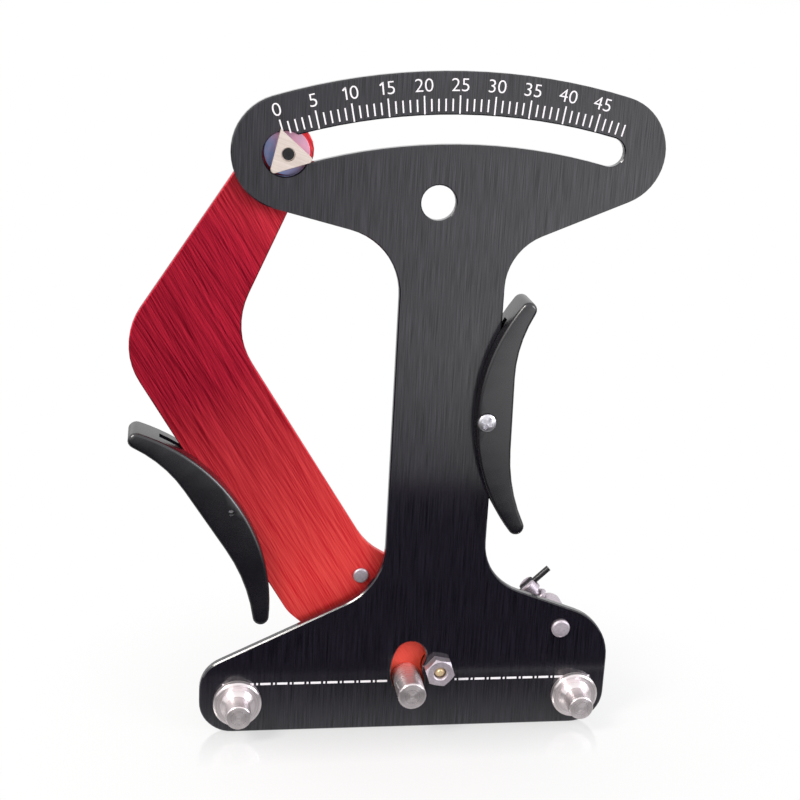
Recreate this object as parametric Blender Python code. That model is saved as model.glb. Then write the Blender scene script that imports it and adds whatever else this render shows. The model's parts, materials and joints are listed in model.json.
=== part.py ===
"""Spoke tension meter: a slotted scale plate, a sprung lever arm with a pointer, and three bending posts.

Points are worked out from the pivot, in the plane of the plate: X to the right, Z up. Y is the depth,
nought at the plate's front face and growing towards the back. Two empties at the pivot carry all pieces,
one for the plate and one for the lever arm, and the origin is the centre of the hanging hole.
"""

import math

import bmesh
import bpy
from mathutils import Matrix, Vector
from mathutils.geometry import intersect_point_line

# Fits shared by all pieces
CLEARANCE = 0.0003
CUT_OVERRUN = 0.001
WELD_DISTANCE = 0.000003
ARC_STEP_DEG = 7.5
LARGE_ARC_STEP_DEG = 2.0
SMALL_ARC_STEP_DEG = 15.0
ROUND_SEGMENTS = 28
SMALL_SEGMENTS = 16

# Plate head, an arc about the pivot whose radius also sets the heights of the neck, elbow and grips
PLATE_THICKNESS = 0.0025
PLATE_CHAMFER = 0.00035
HEAD_RADIUS = 0.1775
SLOT_LAST_DEG = 13.88
POINTER_REST_DEG = -18.1
POINTER_HOLE_RADIUS = 0.0061
POINTER_HOLE_DEG = -18.3
HEAD_LEFT_END_RADIUS = 0.0156
HEAD_RIGHT_END_RADIUS = 0.0152
HEAD_LEFT_DEG = -17.95
HEAD_RIGHT_DEG = 14.09

# Scale slot, midway between the head's edges
SLOT_BELOW_EDGE = 0.0156
SLOT_RADIUS = HEAD_RADIUS - SLOT_BELOW_EDGE
SLOT_HALF_WIDTH = 0.0040

# Hanging hole, measured from the pivot
HANG_X = -0.0085
HANG_BELOW_EDGE = 0.0358
HANG_Z = HEAD_RADIUS - HANG_BELOW_EDGE
HANG_RADIUS = 0.0049

# Plate neck and base
NECK_LEFT_X = -0.0181
NECK_RIGHT_X = 0.0117
NECK_LEFT_BELOW_EDGE = 0.0475
NECK_RIGHT_BELOW_EDGE = 0.0486
NECK_TOP_LEFT_Z = HEAD_RADIUS - NECK_LEFT_BELOW_EDGE
NECK_TOP_RIGHT_Z = HEAD_RADIUS - NECK_RIGHT_BELOW_EDGE
NECK_FOOT_LEFT_Z = 0.0273
NECK_FOOT_RIGHT_Z = 0.0293
NECK_LENGTH = NECK_TOP_RIGHT_Z - NECK_FOOT_RIGHT_Z
NECK_TOP_LEFT_RADIUS = 0.0190
NECK_TOP_RIGHT_RADIUS = 0.0160
NECK_FOOT_LEFT_RADIUS = 0.0200
NECK_FOOT_RIGHT_RADIUS = 0.0170
BASE_LEFT_X = -0.0716
BASE_RIGHT_X = 0.0522
BASE_BOTTOM_Z = -0.0192
BASE_SHOULDER_LEFT_Z = 0.0012
BASE_SHOULDER_RIGHT_Z = 0.0144
BASE_SHOULDER_RIGHT_RADIUS = 0.0170
BASE_CORNER_RADIUS = 0.0100

# Fixed posts, turned with a flange, a collar and a pin
POST_SPACING = 0.1032
POST_MIDDLE_X = -0.0088
POST_Z = -0.0093
POST_FLANGE_RADIUS = 0.00715
POST_FLANGE_HEIGHT = 0.0017
POST_COLLAR_RADIUS = 0.0050
POST_COLLAR_HEIGHT = 0.0008
POST_CONE_HEIGHT = 0.0010
POST_PIN_RADIUS = 0.00375
POST_HEIGHT = 0.0099
POST_CHAMFER = 0.0005
POST_SPIGOT_RADIUS = 0.0030

# Moving post and the arc slot in the plate that it swings in
MOVING_POST_RADIUS = 0.0042
MOVING_POST_ARM = 0.0101
MOVING_POST_REST_DEG = 201.8
MOVING_POST_SPIGOT_RADIUS = 0.0025
POST_SLOT_ARM = 0.00985
POST_SLOT_HALF_WIDTH = 0.0048
POST_SLOT_LOW_DEG = 203.0
POST_SLOT_HIGH_DEG = 153.5

# Lever arm: same stock as the plate, on a thrust washer behind it
ARM_THICKNESS = 0.0025
ARM_CHAMFER = 0.0003
WASHER_THICKNESS = 0.0008
ARM_END_RADIUS = 0.0079
ARM_END_SHIFT_X = -0.0005
ARM_END_SHIFT_Z = 0.0003
ARM_ELBOW_OUTER_X = -0.0958
ELBOW_OUTER_HEIGHT_SHARE = 0.5594
ARM_ELBOW_OUTER_Z = ELBOW_OUTER_HEIGHT_SHARE * HEAD_RADIUS
ARM_ELBOW_OUTER_RADIUS = 0.0198
ARM_ELBOW_INNER_X = -0.0642
ELBOW_INNER_HEIGHT_SHARE = 0.5842
ARM_ELBOW_INNER_Z = ELBOW_INNER_HEIGHT_SHARE * HEAD_RADIUS
ARM_ELBOW_INNER_RADIUS = 0.0220
ARM_HEEL_X = -0.0459
ARM_HEEL_Z = 0.0179
ARM_HEEL_RADIUS = 0.0130
ARM_THROAT_X = -0.0233
ARM_THROAT_Z = 0.0389
ARM_THROAT_RADIUS = 0.0198
ARM_SHOULDER_X = -0.0030
ARM_SHOULDER_Z = 0.0281
ARM_SHOULDER_RADIUS = 0.0100
ARM_POST_LOBE_RADIUS = 0.0075
ARM_PIVOT_LOBE_RADIUS = 0.0110

# Pivot: a hex-headed barrel bolt from the front, closed by a screw from the back
HEX_ACROSS_FLATS = 0.0080
HEX_HEIGHT = 0.0028
HEX_CHAMFER = 0.0004
HEX_TURN_DEG = -18.4
BARREL_RADIUS = 0.0030
BARREL_BORE_RADIUS = 0.00185
PIVOT_SCREW_RADIUS = 0.00155
PIVOT_SCREW_RECESS = 0.0004
BUSH_WALL = 0.0012
FRONT_WASHER_RADIUS = 0.0047
ARM_WASHER_RADIUS = 0.0071
REAR_WASHER_RADIUS = 0.0076
REAR_WASHER_THICKNESS = 0.0008
SLEEVE_WALL = 0.0009

# Torsion spring, close round the pivot behind the arm
WIRE_RADIUS = 0.00095
COIL_RADIUS = 0.00615
COIL_GAP = 0.0008
COIL_WHOLE_TURNS = 2
COIL_POINTS_PER_TURN = 10
LEG_POINTS = 6
PLATE_LEG_DEG = 44.2
PLATE_LEG_LENGTH = 0.0438
ARM_LEG_OVERHANG = 0.0050

# Rivet-headed spring posts
SPRING_HEAD_HEIGHT = 0.0008
ARM_PIN_X = -0.0246
ARM_PIN_Z = 0.0295
ARM_PIN_HEAD_RADIUS = 0.0023
ARM_PIN_HEAD_HEIGHT = 0.0005
ARM_PIN_SPIGOT_RADIUS = 0.0018
ARM_PIN_RADIUS = 0.0022
PLATE_PIN_X = 0.0368
PLATE_PIN_Z = 0.0129
PLATE_PIN_HEAD_RADIUS = 0.00285
PLATE_PIN_SPIGOT_RADIUS = 0.0022
PLATE_PIN_RADIUS = 0.0042
PLATE_PIN_DOME = 0.0012
PLATE_PIN_DOME_RADIUS = 0.0034
PLATE_PIN_LENGTH = 0.0175

# Calibration screw through the plate's spring post: its forked head holds the wire, a nut locks it
SETSCREW_RADIUS = 0.00125
SETSCREW_TAIL = 0.0064
SETSCREW_HEAD_RADIUS = 0.00275
SETSCREW_HEAD_FLOOR = 0.0010
SETSCREW_HEAD_LIP = 0.0003
SETSCREW_HEAD_CHAMFER = 0.0003
LOCK_NUT_ACROSS_FLATS = 0.0050
LOCK_NUT_HEIGHT = 0.0016
LOCK_NUT_CHAMFER = 0.0003

# Pointer
POINTER_THICKNESS = 0.0015
POINTER_TIP_REACH = 0.0070
POINTER_BASE_REACH = 0.0039
POINTER_HALF_BASE = 0.0065
POINTER_CORNER_RADIUS = 0.0010
POINTER_TIP_RADIUS = 0.0001
POINTER_CHAMFER = 0.00015
POINTER_DISC_RADIUS = 0.0062
POINTER_HUB_RADIUS = 0.0026
POINTER_SCREW_RADIUS = 0.0012
POINTER_SCREW_HEAD_RADIUS = 0.0016
POINTER_SCREW_HEAD_HEIGHT = 0.0005
POINTER_SINK_DEPTH = 0.0010

# Grips: one crescent moulding used twice, slotted over a metal edge, as long as the neck allows
GRIP_LENGTH_SHARE = 0.6556
GRIP_LENGTH = GRIP_LENGTH_SHARE * NECK_LENGTH
GRIP_END_RADIUS = 0.00235
GRIP_BULGE = 0.0134
GRIP_HOLLOW = 0.0029
GRIP_LOWER_FLARE = 0.0535
GRIP_UPPER_FLARE = 0.0380
GRIP_WIDTH = 0.0120
GRIP_EDGE_RADIUS = 0.0009
GRIP_SLOT_BOTTOM = 0.0061
GRIP_GROOVE_DEPTH = 0.0020
GRIP_GROOVE_END = 0.0025
GRIP_ARC_STEP_DEG = 3.0
GRIP_SCREW_DEPTH = 0.0105
GRIP_RIGHT_STANDOUT = 0.0077
GRIP_RIGHT_TIP_SHARE = 0.1837
GRIP_RIGHT_TIP_Z = NECK_FOOT_RIGHT_Z + GRIP_RIGHT_TIP_SHARE * NECK_LENGTH
GRIP_RIGHT_LEAN_DEG = 1.07
GRIP_LEFT_STANDOUT = 0.0068
GRIP_LEFT_ALONG = 0.0046
GRIP_LEFT_LEAN_DEG = 1.9
GRIP_SCREW_RADIUS = 0.0014
GRIP_TIP_HOLE_RADIUS = 0.0009
GRIP_COUNTERBORE = 0.0007

# Screw heads
SCREW_HEAD_RADIUS = 0.0026
SCREW_HEAD_HEIGHT = 0.0016
SCREW_DOME = 0.0006
SCREW_DOME_RADIUS = 0.0022
RECESS_REACH = 0.0014
RECESS_WIDTH = 0.0006
RECESS_DEPTH = 0.0009
POST_SCREW_RADIUS = 0.0012

# Colours and finishes: base colour, metallic, roughness
FINISHES = {
    "black_anodised": ((0.060, 0.060, 0.068), 0.6, 0.42),
    "red_anodised": ((0.55, 0.030, 0.045), 0.85, 0.34),
    "turned_steel": ((0.78, 0.77, 0.76), 1.0, 0.24),
    "stainless": ((0.74, 0.70, 0.64), 1.0, 0.36),
    "yellow_zinc": ((0.72, 0.58, 0.30), 1.0, 0.35),
    "bronze": ((0.62, 0.42, 0.22), 1.0, 0.40),
    "black_oxide": ((0.035, 0.035, 0.038), 0.7, 0.45),
    "black_plastic": ((0.030, 0.030, 0.033), 0.0, 0.48),
}

# Depths that follow from the stack, front to back
ARM_FRONT = PLATE_THICKNESS + WASHER_THICKNESS + 2 * CLEARANCE
ARM_BACK = ARM_FRONT + ARM_THICKNESS
ARM_WASHER_BACK = ARM_BACK + CLEARANCE + WASHER_THICKNESS
ARM_LEG_Y = ARM_WASHER_BACK + CLEARANCE + WIRE_RADIUS


def direction(degrees):
    """Unit vector in the plate's plane, anticlockwise from +X as seen from the front."""
    angle = math.radians(degrees)
    return Vector((math.cos(angle), math.sin(angle)))


def on_scale(radius, degrees):
    """Point at a radius from the pivot and an angle clockwise from straight up."""
    return radius * direction(90.0 - degrees)


def arc(centre, radius, start, end, step=ARC_STEP_DEG):
    """Points along an arc from one angle to another, both in degrees."""
    steps = max(2, math.ceil(abs(end - start) / step))
    spread = [start + (end - start) * i / steps for i in range(steps + 1)]
    return [centre + radius * direction(angle) for angle in spread]


def ring(centre, radius, segments=ROUND_SEGMENTS):
    return [centre + radius * direction(360.0 * i / segments) for i in range(segments)]


def angle_of(vector):
    return math.degrees(math.atan2(vector.y, vector.x))


def fillet(before, corner, after, radius):
    """The arc that rounds a corner between two straight runs."""
    toward_before = (before - corner).normalized()
    toward_after = (after - corner).normalized()
    half = toward_before.angle(toward_after) / 2
    middle = (toward_before + toward_after).normalized()
    centre = corner + middle * (radius / math.sin(half))
    reach = radius / math.tan(half)
    start = angle_of(corner + toward_before * reach - centre)
    end = angle_of(corner + toward_after * reach - centre)
    turn = (end - start + 180.0) % 360.0 - 180.0
    return arc(centre, radius, start, start + turn)


def rounded(points, radii):
    """A closed outline with each corner rounded to its own radius."""
    count = len(points)
    outline = []
    for i, radius in enumerate(radii):
        outline += fillet(points[i - 1], points[i], points[(i + 1) % count], radius)
    return outline


def tangent_degrees(centre, radius, point, side):
    """Angle on a circle where the line from an outside point touches it; side is 1 or -1."""
    away = point - centre
    return angle_of(away) + side * math.degrees(math.acos(radius / away.length))


def swept(start, end, sense):
    """The end angle moved by whole turns so that it lies on that sense's side of the start."""
    turn = (end - start) % 360.0
    return start + (turn if sense > 0 else turn - 360.0)


def own_material(obj, finish):
    """Each piece carries its own material, so one can be changed alone."""
    colour, metallic, roughness = FINISHES[finish]
    made = bpy.data.materials.new(obj.name)
    made.use_nodes = True
    shader = made.node_tree.nodes["Principled BSDF"]
    shader.inputs["Base Color"].default_value = (*colour, 1.0)
    shader.inputs["Metallic"].default_value = metallic
    shader.inputs["Roughness"].default_value = roughness
    made.diffuse_color = (*colour, 1.0)
    obj.data.materials.append(made)


def finish_mesh(name, mesh_data, carrier, finish):
    """The piece as an object on its carrier, or a hidden cutter where no finish is given."""
    bmesh.ops.remove_doubles(mesh_data, verts=mesh_data.verts, dist=WELD_DISTANCE)
    bmesh.ops.recalc_face_normals(mesh_data, faces=mesh_data.faces)
    mesh = bpy.data.meshes.new(name)
    mesh_data.to_mesh(mesh)
    mesh_data.free()
    mesh.shade_smooth()
    mesh.set_sharp_from_angle(angle=math.radians(30.0))
    obj = bpy.data.objects.new(name, mesh)
    bpy.context.scene.collection.objects.link(obj)
    obj.parent = carrier
    if finish:
        own_material(obj, finish)
    else:
        obj.hide_render = True
        obj.display_type = "WIRE"
    return obj


def from_curve(name, curve, frame, carrier, finish):
    """The curve's surface as a mesh, so that a Boolean can cut it."""
    drawn = bpy.data.objects.new(name, curve)
    bpy.context.scene.collection.objects.link(drawn)
    bpy.context.view_layer.update()
    evaluated = drawn.evaluated_get(bpy.context.evaluated_depsgraph_get())
    mesh_data = bmesh.new()
    mesh_data.from_mesh(evaluated.to_mesh())
    bmesh.ops.transform(mesh_data, matrix=frame, verts=mesh_data.verts)
    bpy.data.objects.remove(drawn)
    bpy.data.curves.remove(curve)
    return finish_mesh(name, mesh_data, carrier, finish)


def sheet(name, outlines, front, thickness, edge, carrier, finish, edge_steps=0):
    """A flat piece cut to its outlines, the first outside and the rest holes, with broken edges."""
    curve = bpy.data.curves.new(name, "CURVE")
    curve.dimensions = "2D"
    curve.fill_mode = "BOTH"
    curve.extrude = thickness / 2 - edge
    curve.bevel_depth = edge
    curve.bevel_resolution = edge_steps
    curve.offset = -edge
    for points in outlines:
        spline = curve.splines.new("POLY")
        spline.points.add(len(points) - 1)
        for spot, point in zip(spline.points, points):
            spot.co = (point.x, point.y, 0.0, 1.0)
        spline.use_cyclic_u = True
    upright = Matrix.Rotation(math.radians(90.0), 4, "X")
    frame = Matrix.Translation((0.0, front + thickness / 2, 0.0)) @ upright
    return from_curve(name, curve, frame, carrier, finish)


def turned(name, profile, place, carrier, finish, segments=ROUND_SEGMENTS, closed=False, frame=None):
    """A piece turned on a lathe. The profile lists (radius, depth); its axis runs along Y at place."""
    mesh_data = bmesh.new()
    verts = [mesh_data.verts.new((radius, depth, 0.0)) for radius, depth in profile]
    pairs = zip(verts, verts[1:] + verts[:1]) if closed else zip(verts, verts[1:])
    edges = [mesh_data.edges.new(pair) for pair in pairs]
    bmesh.ops.spin(
        mesh_data,
        geom=verts + edges,
        cent=(0.0, 0.0, 0.0),
        axis=(0.0, 1.0, 0.0),
        angle=math.radians(360.0),
        steps=segments,
        use_merge=True,
    )
    seat = frame or Matrix.Translation((place.x, 0.0, place.y))
    bmesh.ops.transform(mesh_data, matrix=seat, verts=mesh_data.verts)
    return finish_mesh(name, mesh_data, carrier, finish)


def washer(name, place, inner, outer, front, thickness, carrier, finish):
    back = front + thickness
    profile = [(inner, front), (outer, front), (outer, back), (inner, back)]
    return turned(name, profile, place, carrier, finish, closed=True)


def block(name, size, frame, carrier):
    """A box cutter of that size, centred on its frame."""
    mesh_data = bmesh.new()
    bmesh.ops.create_cube(mesh_data, size=1.0)
    bmesh.ops.scale(mesh_data, vec=size, verts=mesh_data.verts)
    bmesh.ops.transform(mesh_data, matrix=frame, verts=mesh_data.verts)
    return finish_mesh(name, mesh_data, carrier, None)


def cut(obj, cutter):
    boolean = obj.modifiers.new(cutter.name, "BOOLEAN")
    boolean.operation = "DIFFERENCE"
    boolean.solver = "EXACT"
    boolean.object = cutter


def hexagon(centre, across_flats, turn):
    radius = across_flats / math.sqrt(3.0)
    return [centre + radius * direction(90.0 - turn + 60.0 * i) for i in range(6)]


def pan_screw(name, place, head_face, length, shank_radius, facing, carrier, finish):
    """A domed cross-recess screw. Facing is -1 for a head at the front and 1 for one at the back."""
    seat = head_face - facing * SCREW_HEAD_HEIGHT
    rim = head_face - facing * SCREW_DOME
    profile = [
        (0.0, head_face),
        (SCREW_HEAD_RADIUS / 2, head_face - facing * SCREW_DOME / 5),
        (SCREW_DOME_RADIUS, head_face - facing * SCREW_DOME / 2),
        (SCREW_HEAD_RADIUS, rim),
        (SCREW_HEAD_RADIUS, seat),
        (shank_radius, seat),
        (shank_radius, seat - facing * (length - shank_radius / 2)),
        (shank_radius / 2, seat - facing * length),
        (0.0, seat - facing * length),
    ]
    screw = turned(name, profile, place, carrier, finish, segments=SMALL_SEGMENTS)
    middle = head_face - facing * (RECESS_DEPTH - CUT_OVERRUN) / 2
    for i, turn in enumerate((45.0, 135.0)):
        frame = Matrix.Translation((place.x, middle, place.y)) @ Matrix.Rotation(math.radians(turn), 4, "Y")
        size = (2 * RECESS_REACH, RECESS_DEPTH + CUT_OVERRUN, RECESS_WIDTH)
        cut(screw, block(f"{name}_recess_{i}", size, frame, carrier))
    return screw


def post_places():
    half = POST_SPACING / 2
    return {
        "left": Vector((POST_MIDDLE_X - half, POST_Z)),
        "right": Vector((POST_MIDDLE_X + half, POST_Z)),
    }


def plate_outline():
    """Head arc, two round head ends, then the neck and the base with their rounded corners."""
    left_end = on_scale(HEAD_RADIUS - HEAD_LEFT_END_RADIUS, HEAD_LEFT_DEG)
    right_end = on_scale(HEAD_RADIUS - HEAD_RIGHT_END_RADIUS, HEAD_RIGHT_DEG)
    corners = [
        Vector((NECK_LEFT_X, NECK_TOP_LEFT_Z)),
        Vector((NECK_LEFT_X, NECK_FOOT_LEFT_Z)),
        Vector((BASE_LEFT_X, BASE_SHOULDER_LEFT_Z)),
        Vector((BASE_LEFT_X, BASE_BOTTOM_Z)),
        Vector((BASE_RIGHT_X, BASE_BOTTOM_Z)),
        Vector((BASE_RIGHT_X, BASE_SHOULDER_RIGHT_Z)),
        Vector((NECK_RIGHT_X, NECK_FOOT_RIGHT_Z)),
        Vector((NECK_RIGHT_X, NECK_TOP_RIGHT_Z)),
    ]
    radii = [
        NECK_TOP_LEFT_RADIUS,
        NECK_FOOT_LEFT_RADIUS,
        BASE_CORNER_RADIUS,
        BASE_CORNER_RADIUS,
        BASE_CORNER_RADIUS,
        BASE_SHOULDER_RIGHT_RADIUS,
        NECK_FOOT_RIGHT_RADIUS,
        NECK_TOP_RIGHT_RADIUS,
    ]
    left_leave = tangent_degrees(left_end, HEAD_LEFT_END_RADIUS, corners[0], -1)
    right_leave = tangent_degrees(right_end, HEAD_RIGHT_END_RADIUS, corners[-1], 1)
    left_touch = left_end + HEAD_LEFT_END_RADIUS * direction(left_leave)
    right_touch = right_end + HEAD_RIGHT_END_RADIUS * direction(right_leave)
    path = [left_touch, *corners, right_touch]
    end = 90.0 - HEAD_RIGHT_DEG
    start = 90.0 - HEAD_LEFT_DEG
    outline = arc(Vector((0.0, 0.0)), HEAD_RADIUS, end, start, LARGE_ARC_STEP_DEG)
    outline += arc(left_end, HEAD_LEFT_END_RADIUS, start, swept(start, left_leave, 1))[1:]
    for i, radius in enumerate(radii, 1):
        outline += fillet(path[i - 1], path[i], path[i + 1], radius)
    outline += arc(right_end, HEAD_RIGHT_END_RADIUS, right_leave, swept(right_leave, end, 1))[:-1]
    return outline


def scale_slot_outline():
    """The arc slot that the pointer travels in, opening on the left into its round hole."""
    centre = Vector((0.0, 0.0))
    hole = on_scale(SLOT_RADIUS, POINTER_HOLE_DEG)
    last = on_scale(SLOT_RADIUS, SLOT_LAST_DEG)
    outer = SLOT_RADIUS + SLOT_HALF_WIDTH
    inner = SLOT_RADIUS - SLOT_HALF_WIDTH
    meets = []
    for radius in (outer, inner):
        cosine = (SLOT_RADIUS**2 + radius**2 - POINTER_HOLE_RADIUS**2) / (2 * SLOT_RADIUS * radius)
        meets.append(90.0 - POINTER_HOLE_DEG - math.degrees(math.acos(cosine)))
    last_angle = 90.0 - SLOT_LAST_DEG
    outline = arc(centre, outer, last_angle, meets[0], LARGE_ARC_STEP_DEG)
    start = angle_of(outer * direction(meets[0]) - hole)
    end = angle_of(inner * direction(meets[1]) - hole)
    outline += arc(hole, POINTER_HOLE_RADIUS, start, swept(start, end, 1), SMALL_ARC_STEP_DEG)[1:-1]
    outline += arc(centre, inner, meets[1], last_angle, LARGE_ARC_STEP_DEG)
    outline += arc(last, SLOT_HALF_WIDTH, last_angle - 180.0, last_angle, SMALL_ARC_STEP_DEG)[1:-1]
    return outline


def post_slot_outline():
    centre = Vector((0.0, 0.0))
    low, high = POST_SLOT_LOW_DEG, POST_SLOT_HIGH_DEG
    low_end = POST_SLOT_ARM * direction(low)
    high_end = POST_SLOT_ARM * direction(high)
    outline = arc(centre, POST_SLOT_ARM + POST_SLOT_HALF_WIDTH, high, low)
    outline += arc(low_end, POST_SLOT_HALF_WIDTH, low, low + 180.0, SMALL_ARC_STEP_DEG)[1:-1]
    outline += arc(centre, POST_SLOT_ARM - POST_SLOT_HALF_WIDTH, low, high, SMALL_ARC_STEP_DEG)
    outline += arc(high_end, POST_SLOT_HALF_WIDTH, high - 180.0, high, SMALL_ARC_STEP_DEG)[1:-1]
    return outline


def grip_right_frame():
    """Tip centre, direction along the grip, and direction into the plate."""
    along = direction(90.0 + GRIP_RIGHT_LEAN_DEG)
    tip = Vector((NECK_RIGHT_X + GRIP_RIGHT_STANDOUT, GRIP_RIGHT_TIP_Z))
    return tip, along, Vector((-along.y, along.x))


def arm_corners():
    return {
        "elbow_outer": Vector((ARM_ELBOW_OUTER_X, ARM_ELBOW_OUTER_Z)),
        "elbow_inner": Vector((ARM_ELBOW_INNER_X, ARM_ELBOW_INNER_Z)),
        "heel": Vector((ARM_HEEL_X, ARM_HEEL_Z)),
        "throat": Vector((ARM_THROAT_X, ARM_THROAT_Z)),
        "shoulder": Vector((ARM_SHOULDER_X, ARM_SHOULDER_Z)),
    }


def grip_left_frame():
    """The same for the grip on the arm's outer edge, which faces the other way."""
    corners = arm_corners()
    edge = (corners["elbow_outer"] - corners["heel"]).normalized()
    inward = Vector((edge.y, -edge.x))
    along = direction(angle_of(edge) + GRIP_LEFT_LEAN_DEG)
    tip = corners["heel"] + edge * GRIP_LEFT_ALONG - inward * GRIP_LEFT_STANDOUT
    return tip, along, Vector((along.y, -along.x))


def grip_screw_place(frame):
    tip, along, inward = frame
    return tip + along * (GRIP_LENGTH / 2) + inward * GRIP_SCREW_DEPTH


def make_plate(carrier):
    holes = [
        scale_slot_outline(),
        post_slot_outline(),
        ring(Vector((HANG_X, HANG_Z)), HANG_RADIUS),
        ring(Vector((0.0, 0.0)), BARREL_RADIUS + CLEARANCE),
        ring(Vector((PLATE_PIN_X, PLATE_PIN_Z)), PLATE_PIN_SPIGOT_RADIUS + CLEARANCE, SMALL_SEGMENTS),
        ring(grip_screw_place(grip_right_frame()), GRIP_SCREW_RADIUS + CLEARANCE, SMALL_SEGMENTS),
    ]
    for place in post_places().values():
        holes.append(ring(place, POST_SPIGOT_RADIUS + CLEARANCE, SMALL_SEGMENTS))
    outlines = [plate_outline(), *holes]
    sheet("body_plate", outlines, 0.0, PLATE_THICKNESS, PLATE_CHAMFER, carrier, "black_anodised")


def make_fixed_posts(carrier):
    flange = -CLEARANCE - POST_FLANGE_HEIGHT
    collar = flange - POST_COLLAR_HEIGHT
    spigot_end = PLATE_THICKNESS - CLEARANCE
    bore = POST_SCREW_RADIUS + CLEARANCE
    screw_length = PLATE_THICKNESS + POST_HEIGHT / 2
    bore_end = PLATE_THICKNESS + CLEARANCE - screw_length - CLEARANCE
    profile = [
        (0.0, -POST_HEIGHT),
        (POST_PIN_RADIUS - POST_CHAMFER, -POST_HEIGHT),
        (POST_PIN_RADIUS, -POST_HEIGHT + POST_CHAMFER),
        (POST_PIN_RADIUS, collar - POST_CONE_HEIGHT),
        (POST_COLLAR_RADIUS, collar),
        (POST_COLLAR_RADIUS, flange),
        (POST_FLANGE_RADIUS - POST_CHAMFER, flange),
        (POST_FLANGE_RADIUS, flange + POST_CHAMFER),
        (POST_FLANGE_RADIUS, -CLEARANCE),
        (POST_SPIGOT_RADIUS, -CLEARANCE),
        (POST_SPIGOT_RADIUS, spigot_end),
        (bore, spigot_end),
        (bore, bore_end),
        (0.0, bore_end),
    ]
    head_face = PLATE_THICKNESS + CLEARANCE + SCREW_HEAD_HEIGHT
    for side, place in post_places().items():
        turned(f"fixed_post_{side}", profile, place, carrier, "turned_steel")
        name = f"fixed_post_screw_{side}"
        pan_screw(name, place, head_face, screw_length, POST_SCREW_RADIUS, 1, carrier, "black_oxide")


def coil_back():
    """Depth of the wire's centre where the spring leaves for the plate's post."""
    turns = coil_angles()[1] / 360.0
    return ARM_LEG_Y + turns * (2 * WIRE_RADIUS + COIL_GAP)


def arm_leg_degrees():
    """The arm's leg starts left of the pivot and bears on the far side of the arm's pin."""
    pin = Vector((ARM_PIN_X, ARM_PIN_Z))
    beyond = COIL_RADIUS + ARM_PIN_RADIUS + CLEARANCE + WIRE_RADIUS
    return angle_of(pin) - math.degrees(math.asin(beyond / pin.length))


def coil_angles():
    """Where the coil starts and how far it turns, in degrees."""
    start = arm_leg_degrees() + 90.0
    turned_by = (PLATE_LEG_DEG - 90.0 - start) % 360.0
    return start, turned_by + 360.0 * COIL_WHOLE_TURNS


def spring_points():
    """Centre line of the wire: the arm's leg, the coil, then the plate's leg."""
    start, turned_by = coil_angles()
    back = coil_back()
    reach = Vector((ARM_PIN_X, ARM_PIN_Z)).length + ARM_LEG_OVERHANG
    leg = direction(arm_leg_degrees())
    first = COIL_RADIUS * direction(start)
    points = []
    for i in range(LEG_POINTS):
        spot = first + leg * (reach * (1.0 - i / LEG_POINTS))
        points.append(Vector((spot.x, ARM_LEG_Y, spot.y)))
    steps = math.ceil(turned_by / 360.0 * COIL_POINTS_PER_TURN)
    for i in range(steps + 1):
        spot = COIL_RADIUS * direction(start + turned_by * i / steps)
        points.append(Vector((spot.x, ARM_LEG_Y + (back - ARM_LEG_Y) * i / steps, spot.y)))
    last = COIL_RADIUS * direction(start + turned_by)
    for i in range(1, LEG_POINTS + 1):
        spot = last + direction(PLATE_LEG_DEG) * (PLATE_LEG_LENGTH * i / LEG_POINTS)
        points.append(Vector((spot.x, back, spot.y)))
    return points


def least_gap(points):
    """Smallest clear space between the wire and a stretch of it at least half a turn away."""
    span = math.pi * COIL_RADIUS
    along = [0.0]
    for a, b in zip(points, points[1:]):
        along.append(along[-1] + (b - a).length)
    gaps = []
    for i, point in enumerate(points):
        for j in range(len(points) - 1):
            if along[i] - along[j + 1] < span:
                continue
            near, share = intersect_point_line(point, points[j], points[j + 1])
            if 0.0 <= share <= 1.0:
                gaps.append((point - near).length - 2 * WIRE_RADIUS)
            gaps.append((point - points[j]).length - 2 * WIRE_RADIUS)
    return min(gaps)


def make_spring(carrier):
    points = spring_points()
    print(f"least gap of the spring to itself: {1000 * least_gap(points):.2f} mm")
    curve = bpy.data.curves.new("torsion_spring", "CURVE")
    curve.dimensions = "3D"
    curve.bevel_depth = WIRE_RADIUS
    curve.bevel_resolution = 1
    curve.use_fill_caps = True
    spline = curve.splines.new("POLY")
    spline.points.add(len(points) - 1)
    for spot, point in zip(spline.points, points):
        spot.co = (*point, 1.0)
    from_curve("torsion_spring", curve, Matrix.Identity(4), carrier, "black_oxide")


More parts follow.
